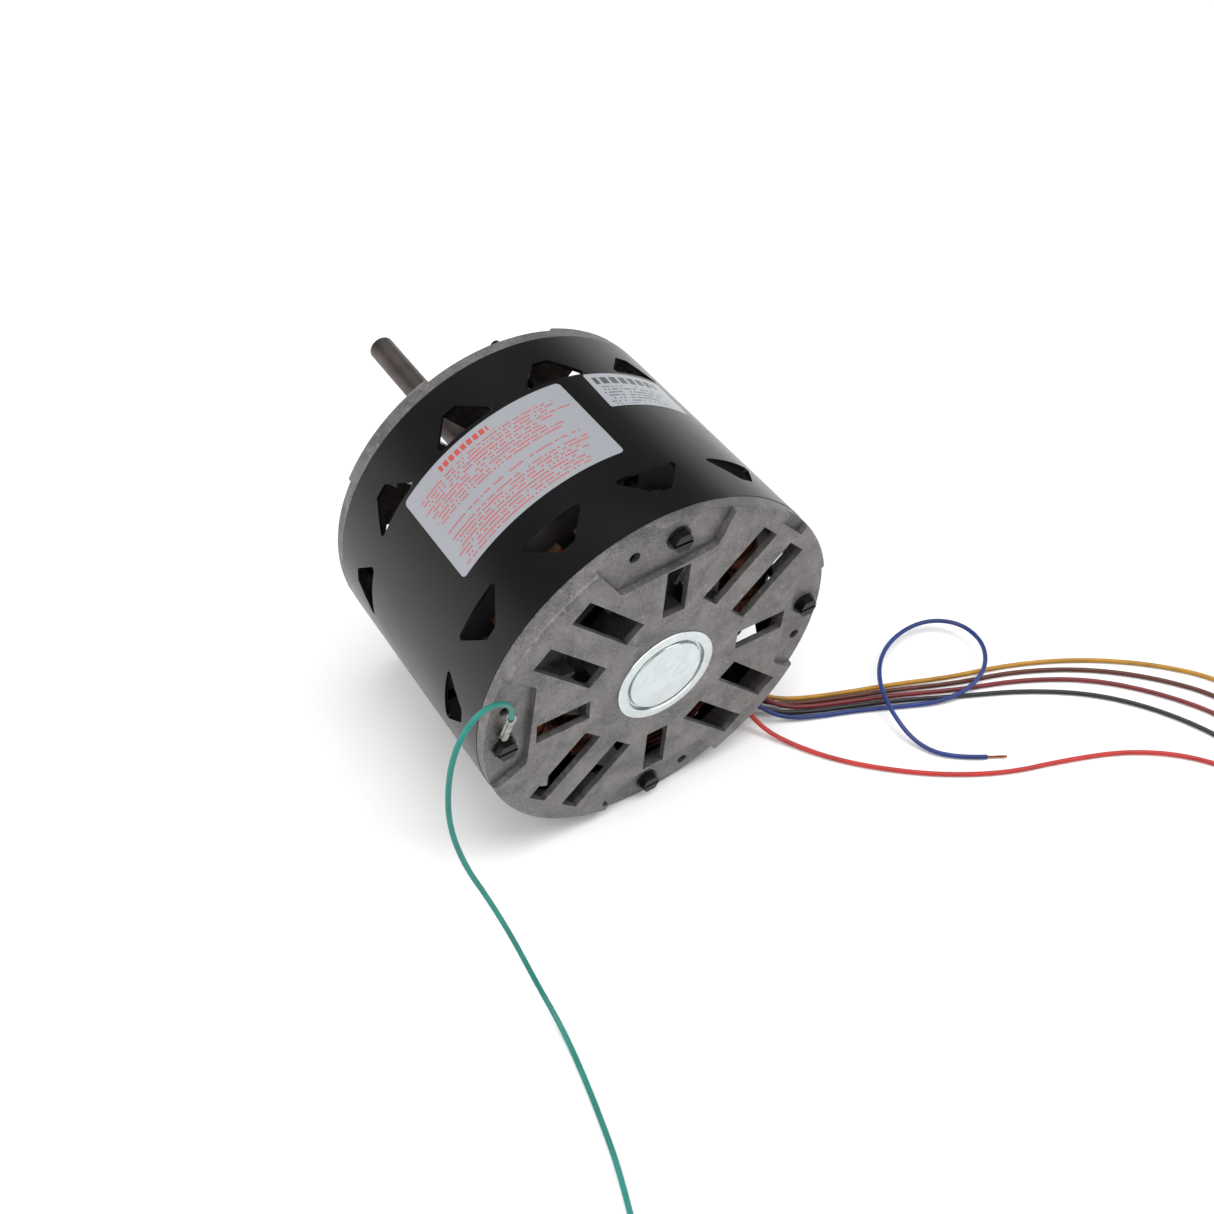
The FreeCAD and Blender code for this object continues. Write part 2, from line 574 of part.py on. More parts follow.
# ---------------------------------------------------------------- fasteners
def make_fasteners():
    bolts, washers, nuts = [], [], []
    pad = "face_half - pad_depth"
    for angle in BOLT_ANGLES:
        x, z = on_circle("bolt_circle", angle)
        seat = "-(%s)" % pad if angle != 180 else "-(%s) - terminal_plate" % pad
        key = "bolt_%d" % angle
        shank = rod(key + "_shank", "bolt_radius", seat, "%s + lock_washer + nut_height + stud_free" % pad, x, z)
        flange = rod(key + "_flange", "head_flange", "(%s) - 1" % seat, seat, x, z)
        head = hexagon(key + "_hex", "head_flats", "(%s) - head_height" % seat, "(%s) - 1" % seat, x, z)
        slot = block(key + "_slot", "2 * head_flats", "1.2", "head_slot", "(%s) - head_flats" % x,
                     "(%s) - head_height - 0.1" % seat, "(%s) - head_slot / 2" % z)
        bolts.append(taken(key, joined(key + "_body", [shank, flange, head]), slot))
        hole = rod(key + "_clear", "bolt_radius", pad, "%s + 20" % pad, x, z)
        spring = rod(key + "_spring", "bolt_radius + 2.4", pad, "%s + lock_washer" % pad, x, z)
        washers.append(taken(key + "_washer", spring, hole))
        skirt = rod(key + "_skirt", "nut_flange", "%s + lock_washer" % pad, "%s + lock_washer + 1" % pad, x, z)
        flats = hexagon(key + "_flats", "head_flats", "%s + lock_washer + 1" % pad,
                        "%s + lock_washer + nut_height" % pad, x, z)
        nuts.append(taken(key + "_nut", joined(key + "_nut_body", [skirt, flats]), hole))
    return [grouped("through_bolts", bolts), grouped("lock_washers", washers), grouped("bolt_nuts", nuts)]


# ---------------------------------------------------------------- labels
def make_label(label, first, last, low, high, corner, tilt=0.0):
    """Thin film wrapped on the shell between two angles and two Y planes, with round corners."""
    radius, film = size("shell_radius"), size("label_film")
    middle = math.radians((first + last) / 2)
    width = 2 * radius * math.sin(math.radians(last - first) / 2)
    blank = Part.makeBox(width, high - low, 40, Vector(-width / 2, low, radius - 30))
    upright = [edge for edge in blank.Edges if abs(edge.Length - 40) < 0.01]
    blank = blank.makeFillet(corner, upright)
    blank.rotate(Vector(0, (low + high) / 2, 0), Vector(0, 0, 1), tilt)
    blank.rotate(Vector(), Vector(0, 1, 0), 90 - math.degrees(middle))
    sleeve = Part.makeCylinder(radius + film, 200, Vector(0, -100, 0), Vector(0, 1, 0))
    sleeve = sleeve.cut(Part.makeCylinder(radius, 200, Vector(0, -100, 0), Vector(0, 1, 0)))
    return solid_feature(label, sleeve.common(blank))


# ---------------------------------------------------------------- leads
def rounded_path(points):
    """Straight runs joined by tangent arcs, each as large as its two runs allow."""
    edges, radii = [], []
    start = points[0]
    for index in range(1, len(points) - 1):
        here = points[index]
        back, ahead = points[index - 1] - here, points[index + 1] - here
        turn = math.pi - back.getAngle(ahead)
        reach = 0.45 * min(back.Length, ahead.Length)
        radius = reach / math.tan(turn / 2)
        radii.append(radius)
        back.normalize()
        ahead.normalize()
        enter, leave = here + back * reach, here + ahead * reach
        bisector = (back + ahead).normalize()
        centre = here + bisector * (radius / math.cos(turn / 2))
        middle = centre - bisector * radius
        edges.append(Part.LineSegment(start, enter).toShape())
        edges.append(Part.Arc(enter, middle, leave).toShape())
        start = leave
    edges.append(Part.LineSegment(start, points[-1]).toShape())
    return Part.Wire(edges), radii


def tube(label, points, radius):
    """Round tube along a rounded path, with its bends and volume reported."""
    route = [Vector(*point) for point in points]
    path, radii = rounded_path(route)
    ring = Part.Wire(Part.makeCircle(radius, route[0], route[1] - route[0]))
    swept = path.makePipeShell([ring], True, True)
    shape = Part.Solid(swept) if swept.ShapeType == "Shell" else swept
    expected = math.pi * radius ** 2 * path.Length
    print("%-14s length %6.1f mm  least bend %5.1f mm  volume / section x length %.4f  bends %s" % (
        label, path.Length, min(radii), shape.Volume / expected, [round(value) for value in radii]))
    return solid_feature(label, shape)


# Points of each lead's route by hand, from its exit to the end of its insulation.
LEADS = {
    "lead_yellow": [
        (56.6, -40.9, -60.3), (63.6, -41.6, -67.0), (71.5, -45.8, -74.6), (81.0, -52.0, -79.4),
        (93.0, -57.2, -81.4), (112.0, -64.6, -81.4), (139.0, -73.8, -81.4), (166.0, -84.5, -81.4),
        (199.0, -94.0, -81.4), (232.0, -109.5, -81.4), (262.0, -131.0, -81.4), (285.0, -157.0, -81.4),
        (297.0, -188.0, -81.4)],
    "lead_brown": [
        (54.8, -40.9, -61.9), (62.0, -42.0, -69.4), (69.5, -47.2, -76.2), (80.0, -54.6, -80.3),
        (93.0, -60.3, -81.4), (112.0, -67.6, -81.4), (138.0, -77.0, -81.4), (165.0, -88.5, -81.4),
        (197.0, -98.2, -81.4), (229.0, -115.0, -81.4), (256.0, -138.0, -81.4), (276.0, -165.0, -81.4),
        (286.0, -198.0, -81.4)],
    "lead_maroon": [
        (57.5, -43.0, -59.5), (64.9, -45.0, -66.9), (73.0, -51.0, -74.2), (82.0, -58.4, -79.4),
        (93.5, -63.4, -81.4), (112.0, -70.6, -81.4), (137.0, -80.2, -81.4), (164.0, -92.5, -81.4),
        (195.0, -103.4, -81.4), (226.0, -121.0, -81.4), (250.0, -146.0, -81.4), (267.0, -174.0, -81.4),
        (276.0, -211.0, -81.4)],
    "lead_black": [
        (53.9, -43.0, -62.7), (61.0, -45.2, -70.4), (68.6, -51.6, -77.2), (79.5, -60.2, -80.6),
        (93.0, -66.4, -81.4), (112.0, -73.7, -81.4), (136.0, -83.4, -81.4), (162.0, -96.0, -81.4),
        (192.0, -109.5, -81.4), (221.0, -129.0, -81.4), (242.0, -154.0, -81.4), (256.0, -184.0, -81.4),
        (264.0, -220.0, -81.4)],
    "lead_blue": [
        (56.6, -45.1, -60.3), (62.8, -48.4, -67.0), (68.6, -55.2, -74.2), (77.5, -63.2, -79.6),
        (92.0, -69.6, -81.4), (113.0, -77.2, -81.4), (134.0, -86.6, -81.4), (150.0, -93.8, -80.8),
        (166.0, -97.0, -77.0), (181.0, -92.0, -74.6), (191.0, -79.0, -74.6), (191.0, -63.0, -76.0),
        (178.0, -52.5, -76.5), (158.0, -52.5, -75.8), (140.0, -60.0, -74.6), (127.5, -73.0, -74.2),
        (121.5, -90.0, -75.4), (122.5, -107.0, -80.4), (131.5, -121.0, -81.4), (147.0, -129.5, -81.4)],
    "lead_red": [
        (54.8, -45.1, -61.9), (59.2, -48.8, -67.8), (62.4, -56.5, -74.6), (66.5, -66.5, -79.8),
        (74.0, -79.0, -81.4), (84.5, -94.0, -81.4), (100.0, -109.5, -81.4), (121.0, -126.0, -81.4),
        (148.0, -141.0, -81.4), (178.0, -150.0, -81.4), (209.0, -162.0, -81.4), (234.0, -181.0, -81.4),
        (249.0, -206.0, -81.4), (255.0, -236.0, -81.4)],
    "ground_lead": [
        (-73.9, -68.8, 22.5), (-74.6, -71.3, 31.5), (-80.5, -73.0, 40.5), (-91.0, -75.6, 44.5),
        (-101.0, -78.8, 39.0), (-107.5, -82.0, 25.0), (-110.4, -86.5, 4.0), (-107.5, -92.5, -17.0),
        (-101.5, -99.0, -35.5), (-96.0, -108.0, -56.0), (-92.5, -122.0, -75.0), (-92.0, -141.0, -81.4),
        (-97.0, -170.0, -81.4), (-105.0, -204.0, -81.4), (-118.0, -237.0, -81.4)],
}
HARNESS = [(8.0, -46.4, -73.3), (19.0, -47.0, -73.0), (31.0, -46.6, -69.0), (42.0, -44.6, -61.5),
           (50.4, -43.2, -56.0)]
BARREL = [(-74.9, -65.0, 8.2), (-73.9, -68.8, 22.5)]


def make_leads():
    radius, strand = size("lead_radius"), size("strand_radius")
    pieces = [tube(label, points, radius) for label, points in LEADS.items()]
    ends = []
    for points in LEADS.values():
        last, before = Vector(*points[-1]), Vector(*points[-2])
        ends.append(Part.makeCylinder(strand, size("strip_length"), last, last - before))
    pieces.append(solid_feature("stripped_ends", Part.makeCompound(ends)))
    return pieces


def make_harness():
    """Six leads sleeved together inside the front end space, from the coils to the grommet."""
    spine = [Vector(*point) for point in HARNESS]
    path, _ = rounded_path(spine)
    ring = Part.Wire(Part.makeCircle(3.3, spine[0], spine[1] - spine[0]))
    return solid_feature("lead_harness", path.makePipeShell([ring], True, True))


def make_grommet():
    """Rubber grommet in the shell wall with six leads through it."""
    angle = math.radians(size("grommet_angle"))
    outward = Vector(math.cos(angle), 0, math.sin(angle))
    radius = size("shell_radius")

    def disc(reach, low, high):
        base = outward * low + Vector(0, size("grommet_place"), 0)
        return Part.makeCylinder(reach, high - low, base, outward)

    body = disc(7.9, radius, radius + 1.6).fuse(disc(6.4, radius - 2.1, radius)).fuse(
        disc(7.9, radius - 3.6, radius - 2.1))
    return solid_feature("lead_grommet", body.cut(disc(4.6, radius - 10, radius + 10)).removeSplitter())


def make_terminal():
    """Ring terminal under the left bolt's head, its tongue bent out of the pad to a crimped barrel."""
    plate, radius = size("terminal_plate"), size("terminal_radius")
    back = -size("face_half - pad_depth")
    centre = Vector(-size("bolt_circle"), back, 0)
    ring = Part.makeCylinder(radius, plate, centre, Vector(0, -1, 0))
    tongue = Part.makeBox(4.4, plate, 8.4, Vector(centre.x - 2.2, back - plate, 0))
    start, end = Vector(*BARREL[0]), Vector(*BARREL[1])
    barrel = Part.makeCylinder(1.9, (end - start).Length - 0.05, start, end - start)
    hole = Part.makeCylinder(size("bolt_radius"), 3, centre + Vector(0, 1, 0), Vector(0, -1, 0))
    return solid_feature("ground_terminal", ring.fuse([tongue, barrel]).cut(hole).removeSplitter())


# ---------------------------------------------------------------- build, check, write
nodes = [make_shell(), make_shield("front_end_shield", FRONT), make_shield("rear_end_shield", REAR),
         make_front_cap(), make_rear_cover()]
nodes += make_hub_pieces(FRONT, "front") + make_hub_pieces(REAR, "rear")
nodes += make_stator() + [make_protector()] + make_rotor() + make_fasteners()
nodes.append(make_label("warning_label", 87.5, 143.4, -20.6, 27.2, 2.0))
nodes.append(make_label("rating_label", 50.0, 79.3, 4.6, 27.6, 1.0, tilt=-2.5))
nodes += [make_grommet(), make_harness(), make_terminal()] + make_leads()
doc.recompute()

for item in doc.Objects:
    if "Invalid" in item.State or "Error" in item.State:
        raise RuntimeError("%s did not recompute: %s" % (item.Label, item.State))
for node in nodes:
    if node.Shape.isNull() or not node.Shape.isValid():
        raise RuntimeError(node.Label + " has no valid shape")

os.makedirs("parts", exist_ok=True)
for node in nodes:
    node.Shape.exportStep("parts/%s.step" % node.Label)
print("%d nodes written" % len(nodes))
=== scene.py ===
import math
import random

import bmesh
import bpy
from mathutils import Matrix, Vector, noise


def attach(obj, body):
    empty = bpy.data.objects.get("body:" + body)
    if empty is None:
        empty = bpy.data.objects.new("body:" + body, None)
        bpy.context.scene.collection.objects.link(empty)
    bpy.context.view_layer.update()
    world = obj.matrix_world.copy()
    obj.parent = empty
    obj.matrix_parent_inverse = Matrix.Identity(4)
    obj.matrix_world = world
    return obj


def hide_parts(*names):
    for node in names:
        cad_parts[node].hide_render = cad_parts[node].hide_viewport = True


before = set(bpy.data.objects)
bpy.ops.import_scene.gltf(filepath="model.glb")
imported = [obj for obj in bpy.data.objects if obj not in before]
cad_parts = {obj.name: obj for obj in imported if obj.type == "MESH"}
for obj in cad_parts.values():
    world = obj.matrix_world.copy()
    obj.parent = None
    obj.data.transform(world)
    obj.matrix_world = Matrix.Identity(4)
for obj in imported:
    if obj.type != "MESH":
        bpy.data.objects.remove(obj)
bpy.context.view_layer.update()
mm = 0.001
print("frame loaded")


def linearColour(hexText):
    parts = [int(hexText[i:i + 2], 16) / 255 for i in (1, 3, 5)]
    return [c / 12.92 if c <= 0.04045 else ((c + 0.055) / 1.055) ** 2.4 for c in parts] + [1.0]


def addNode(tree, kind, inputs=None, **settings):
    # a node with its settings, each input given as a value or as the socket to link from
    node = tree.nodes.new("ShaderNode" + kind)
    for name, value in settings.items():
        setattr(node, name, value)
    for name, value in (inputs or {}).items():
        if isinstance(value, bpy.types.NodeSocket):
            tree.links.new(value, node.inputs[name])
        else:
            node.inputs[name].default_value = value
    return node


def newMaterial(name):
    material = bpy.data.materials.new(name)
    material.use_nodes = True
    tree = material.node_tree
    surface = tree.nodes["Principled BSDF"]
    place = addNode(tree, "TexCoord").outputs["Object"]
    return material, tree, surface, place


def linkToSurface(tree, surface, tone=None, gloss=None, bump=None):
    for node, output, socket in ((tone, "Result", "Base Color"), (gloss, "Result", "Roughness"),
                                 (bump, "Normal", "Normal")):
        if node:
            tree.links.new(node.outputs[output], surface.inputs[socket])


def finish(mesh, name, body, material, replaced=(), smooth=35):
    # the finished mesh becomes a visible piece that rides on a body; smooth is the sharp edge angle
    data = bpy.data.meshes.new(name)
    mesh.to_mesh(data)
    mesh.free()
    data.materials.append(material)
    piece = bpy.data.objects.new(name, data)
    bpy.context.scene.collection.objects.link(piece)
    data.shade_smooth()
    data.set_sharp_from_angle(angle=math.radians(smooth))
    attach(piece, body)
    if replaced:
        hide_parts(*replaced)
    return piece


def fullTurn(count):
    return [i * math.tau / count for i in range(count)]


def closedLoop(mesh, points):
    # a ring of edges through points given in metres
    corners = [mesh.verts.new(point) for point in points]
    following = corners[1:] + corners[:1]
    return corners, [mesh.edges.new(pair) for pair in zip(corners, following)]


def bridgeAll(mesh, loops):
    for low, high in zip(loops, loops[1:]):
        bmesh.ops.bridge_loops(mesh, edges=low + high)


def turnedMesh(profile, steps):
    # profile holds (radius, Y) corners in mm, spun once about the shaft axis
    mesh = bmesh.new()
    corners, rim = closedLoop(mesh, [(r * mm, y * mm, 0) for r, y in profile])
    bmesh.ops.spin(mesh, geom=corners + rim, cent=(0, 0, 0), axis=(0, 1, 0), angle=math.tau,
                   steps=steps, use_merge=True, use_duplicate=False)
    bmesh.ops.remove_doubles(mesh, verts=mesh.verts, dist=1e-6)
    bmesh.ops.recalc_face_normals(mesh, faces=mesh.faces)
    return mesh


def softenSharpEdges(mesh, width, angle):
    # edges sharper than the angle get a small round of the width in mm
    sharp = [e for e in mesh.edges if e.is_manifold and e.calc_face_angle(0) > math.radians(angle)]
    bmesh.ops.bevel(mesh, geom=sharp, offset=width * mm, affect="EDGES", segments=2,
                    profile=0.5, material=-1, clamp_overlap=True)


def evenFaces(piece):
    # flat ends stay flat beside their rounded edges
    for face in piece.data.polygons:
        if abs(face.normal.y) > 0.9999:
            face.use_smooth = False
    piece.modifiers.new("evenFaces", "WEIGHTED_NORMAL").keep_sharp = True


def cadCopy(node):
    # the CAD node's own shape, its loose triangles joined up and its flat faces made whole
    mesh = bmesh.new()
    mesh.from_mesh(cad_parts[node].data)
    bmesh.ops.remove_doubles(mesh, verts=mesh.verts, dist=2e-6)
    bmesh.ops.dissolve_limit(mesh, angle_limit=math.radians(0.3), verts=mesh.verts, edges=mesh.edges)
    return mesh


def sliceSheet(mesh, parts, span, axis):
    # even cuts across a flat sheet centred on the origin, so that it can bend
    for k in range(1, parts):
        everything = mesh.verts[:] + mesh.edges[:] + mesh.faces[:]
        bmesh.ops.bisect_plane(mesh, geom=everything, dist=1e-7,
                               plane_co=[a * (k / parts - 0.5) * span * mm for a in axis], plane_no=axis)


def wrapRound(mesh, middle, radius, reach, lift=0):
    # bends a flat sheet round the shaft axis: its arc is measured on radius, its wall stands at reach
    for vertex in mesh.verts:
        angle = middle - vertex.co.x / (radius * mm)
        vertex.co = (reach * mm * math.cos(angle), vertex.co.y + lift * mm, reach * mm * math.sin(angle))


def faceOutwards(mesh):
    # an open sheet round the shaft axis turned so that its faces look away from it
    outward = sum(f.normal.dot(f.calc_center_median() * Vector((1, 0, 1))) for f in mesh.faces)
    if outward < 0:
        bmesh.ops.reverse_faces(mesh, faces=mesh.faces)


def patternScale(sizeInMm):
    # texture repeats per metre of Object coordinates
    return 1 / (sizeInMm * mm)


def satinBlackEnamel():
    # baked enamel on rolled steel: near black, wide soft highlights, faint orange peel
    look = {"colour": "#0b0b0c", "roughness": 0.3, "specular": 0.3, "peelMm": 1.6, "cloudMm": 45}
    material, tree, surface, place = newMaterial("satinBlackEnamel")
    surface.inputs["Base Color"].default_value = linearColour(look["colour"])
    surface.inputs["Specular IOR Level"].default_value = look["specular"]
    cloud = addNode(tree, "TexNoise", {"Vector": place, "Scale": patternScale(look["cloudMm"]), "Detail": 4})
    gloss = addNode(tree, "MapRange", {"Value": cloud.outputs["Fac"], "From Min": 0.3, "From Max": 0.7,
                    "To Min": look["roughness"] - 0.04, "To Max": look["roughness"] + 0.05})
    peel = addNode(tree, "TexNoise", {"Vector": place, "Scale": patternScale(look["peelMm"]), "Detail": 2})
    bump = addNode(tree, "Bump", {"Height": peel.outputs["Fac"], "Strength": 0.06, "Distance": 0.0002})
    linkToSurface(tree, surface, None, gloss, bump)
    return material


def castAluminium():
    # die cast and tumbled: matt grey, sandy skin, darker flow marks, brighter rubbed scuffs at random spots
    look = {"dark": "#595857", "light": "#827f7e", "rubbed": "#b0adab", "roughness": 0.5,
            "grainMm": 0.45, "fleckMm": 0.9, "flowMm": 11, "scuffMm": 2.6}
    material, tree, surface, place = newMaterial("castAluminium")
    surface.inputs["Metallic"].default_value = 0.72
    flow = addNode(tree, "TexNoise", {"Vector": place, "Scale": patternScale(look["flowMm"]), "Detail": 5,
                   "Distortion": 0.6})
    fleck = addNode(tree, "TexNoise", {"Vector": place, "Scale": patternScale(look["fleckMm"]), "Detail": 5})
    mottle = addNode(tree, "Math", {0: flow.outputs["Fac"], 1: fleck.outputs["Fac"]}, operation="ADD")
    spread = addNode(tree, "MapRange", {"Value": mottle.outputs[0], "From Min": 0.75, "From Max": 1.25})
    tone = addNode(tree, "Mix", {"Factor": spread.outputs["Result"], "A": linearColour(look["dark"]),
                   "B": linearColour(look["light"])}, data_type="RGBA")
    scuff = addNode(tree, "TexNoise", {"Vector": place, "Scale": patternScale(look["scuffMm"]), "Detail": 6,
                    "Roughness": 0.65})
    rub = addNode(tree, "MapRange", {"Value": scuff.outputs["Fac"], "From Min": 0.57, "From Max": 0.68,
                  "To Max": 0.3})
    worn = addNode(tree, "Mix", {"Factor": rub.outputs["Result"], "A": tone.outputs["Result"],
                   "B": linearColour(look["rubbed"])}, data_type="RGBA")
    grain = addNode(tree, "TexNoise", {"Vector": place, "Scale": patternScale(look["grainMm"]), "Detail": 3})
    bump = addNode(tree, "Bump", {"Height": grain.outputs["Fac"], "Strength": 0.5, "Distance": 0.0003})
    gloss = addNode(tree, "MapRange", {"Value": fleck.outputs["Fac"], "From Min": 0.3, "From Max": 0.7,
                    "To Min": look["roughness"] - 0.08, "To Max": look["roughness"] + 0.1})
    linkToSurface(tree, surface, worn, gloss, bump)
    return material


def brightZinc():
    # galvanised sheet: silvery with a faint crystal spangle and light scuffs
    look = {"dark": "#bfc5c6", "light": "#cdd3d3", "spangleMm": 3.5, "scuffMm": 5}
    material, tree, surface, place = newMaterial("brightZinc")
    surface.inputs["Metallic"].default_value = 1.0
    spangle = addNode(tree, "TexVoronoi", {"Vector": place, "Scale": patternScale(look["spangleMm"])})
    scuff = addNode(tree, "TexNoise", {"Vector": place, "Scale": patternScale(look["scuffMm"]), "Detail": 8,
                    "Roughness": 0.7})
    tint = addNode(tree, "Mix", {"Factor": spangle.outputs["Color"], "A": linearColour(look["dark"]),
                   "B": linearColour(look["light"])}, data_type="RGBA")
    gloss = addNode(tree, "MapRange", {"Value": scuff.outputs["Fac"], "From Min": 0.35, "From Max": 0.65,
                    "To Min": 0.2, "To Max": 0.27})
    bump = addNode(tree, "Bump", {"Height": scuff.outputs["Fac"], "Strength": 0.006, "Distance": 0.0003})
    linkToSurface(tree, surface, tint, gloss, bump)
    return material


def metalFinish(name, dark, light, roughness, blotchMm, metallic=1.0, bumpMm=0.6, bumpStrength=0.1):
    # plated, oxidised or sintered metal: two tones in blotches and a fine skin
    material, tree, surface, place = newMaterial(name)
    surface.inputs["Metallic"].default_value = metallic
    blotch = addNode(tree, "TexNoise", {"Vector": place, "Scale": patternScale(blotchMm), "Detail": 5})
    spread = addNode(tree, "MapRange", {"Value": blotch.outputs["Fac"], "From Min": 0.35, "From Max": 0.65})
    tone = addNode(tree, "Mix", {"Factor": spread.outputs["Result"], "A": linearColour(dark),
                   "B": linearColour(light)}, data_type="RGBA")
    gloss = addNode(tree, "MapRange", {"Value": blotch.outputs["Fac"], "From Min": 0.3, "From Max": 0.7,
                    "To Min": roughness - 0.05, "To Max": roughness + 0.07})
    skin = addNode(tree, "TexNoise", {"Vector": place, "Scale": patternScale(bumpMm), "Detail": 2})
    bump = addNode(tree, "Bump", {"Height": skin.outputs["Fac"], "Strength": bumpStrength,
                   "Distance": 0.0002})
    linkToSurface(tree, surface, tone, gloss, bump)
    return material


def groundSteel():
    # centreless-ground shaft: fine rings round it and a brown haze of dried oil
    look = {"dark": "#423c3a", "light": "#625a57", "ringMm": 0.7, "hazeMm": 14}
    material, tree, surface, place = newMaterial("groundSteel")
    surface.inputs["Metallic"].default_value = 1.0
    along = addNode(tree, "Mapping", {"Vector": place, "Scale": (0.02, 1.0, 0.02)})
    rings = addNode(tree, "TexNoise", {"Vector": along.outputs["Vector"], "Detail": 3,
                    "Scale": patternScale(look["ringMm"])})
    haze = addNode(tree, "TexNoise", {"Vector": place, "Scale": patternScale(look["hazeMm"]), "Detail": 5})
    spread = addNode(tree, "MapRange", {"Value": haze.outputs["Fac"], "From Min": 0.35, "From Max": 0.65})
    tone = addNode(tree, "Mix", {"Factor": spread.outputs["Result"], "A": linearColour(look["dark"]),
                   "B": linearColour(look["light"])}, data_type="RGBA")
    gloss = addNode(tree, "MapRange", {"Value": rings.outputs["Fac"], "From Min": 0.3, "From Max": 0.7,
                    "To Min": 0.34, "To Max": 0.5})
    bump = addNode(tree, "Bump", {"Height": rings.outputs["Fac"], "Strength": 0.15, "Distance": 0.0001})
    linkToSurface(tree, surface, tone, gloss, bump)
    return material


def stampedLaminations():
    # stacked electrical steel: dark blued edges with a line at every sheet, drawn 1 mm apart to show
    look = {"dark": "#232327", "light": "#47474d", "sheetMm": 1, "roughness": 0.5}
    material, tree, surface, place = newMaterial("stampedLaminations")
    surface.inputs["Metallic"].default_value = 0.8
    surface.inputs["Roughness"].default_value = look["roughness"]
    lines = addNode(tree, "TexWave", {"Vector": place, "Scale": patternScale(look["sheetMm"]) / math.tau,
                    "Distortion": 0.3}, wave_type="BANDS", bands_direction="Y")
    tone = addNode(tree, "Mix", {"Factor": lines.outputs["Fac"], "A": linearColour(look["dark"]),
                   "B": linearColour(look["light"])}, data_type="RGBA")
    bump = addNode(tree, "Bump", {"Height": lines.outputs["Fac"], "Strength": 0.3, "Distance": 0.0002})
    linkToSurface(tree, surface, tone, None, bump)
    return material


def plasticFinish(name, colour, shade, roughness, coat=0.0, grainMm=0.8, grain=0.05, cloudMm=20):
    # extruded, moulded or drawn plastic and cord: one colour, slightly uneven, with a fine skin
    material, tree, surface, place = newMaterial(name)
    surface.inputs["Coat Weight"].default_value = coat
    cloud = addNode(tree, "TexNoise", {"Vector": place, "Scale": patternScale(cloudMm), "Detail": 3})
    spread = addNode(tree, "MapRange", {"Value": cloud.outputs["Fac"], "From Min": 0.35, "From Max": 0.65})
    tone = addNode(tree, "Mix", {"Factor": spread.outputs["Result"], "A": linearColour(shade),
                   "B": linearColour(colour)}, data_type="RGBA")
    gloss = addNode(tree, "MapRange", {"Value": cloud.outputs["Fac"], "From Min": 0.3, "From Max": 0.7,
                    "To Min": roughness - 0.04, "To Max": roughness + 0.06})
    skin = addNode(tree, "TexNoise", {"Vector": place, "Scale": patternScale(grainMm), "Detail": 2})
    bump = addNode(tree, "Bump", {"Height": skin.outputs["Fac"], "Strength": grain, "Distance": 0.0002})
    linkToSurface(tree, surface, tone, gloss, bump)
    return material


def enamelledCopper():
    # magnet wire under baked varnish: deep red brown with painted copper highlights in random patches, wet
    # gloss
    look = {"dark": "#4a150d", "light": "#a4562b", "varnishAndGlintMm": 6}
    material, tree, surface, place = newMaterial("enamelledCopper")
    surface.inputs["Metallic"].default_value = 0.65
    surface.inputs["Coat Weight"].default_value = 0.5
    surface.inputs["Coat Roughness"].default_value = 0.12
    # one noise sets both the painted copper highlights (the light tone, in random patches) and the varnish
    # gloss
    varnishAndGlint = addNode(tree, "TexNoise", {"Vector": place, "Scale": patternScale(look["varnishAndGlintMm"]),
                      "Detail": 5})
    spread = addNode(tree, "MapRange", {"Value": varnishAndGlint.outputs["Fac"], "From Min": 0.35,
                     "From Max": 0.7})
    tone = addNode(tree, "Mix", {"Factor": spread.outputs["Result"], "A": linearColour(look["dark"]),
                   "B": linearColour(look["light"])}, data_type="RGBA")
    gloss = addNode(tree, "MapRange", {"Value": varnishAndGlint.outputs["Fac"], "From Min": 0.3, "From Max": 0.7,
                    "To Min": 0.5, "To Max": 0.28})
    linkToSurface(tree, surface, tone, gloss)
    return material


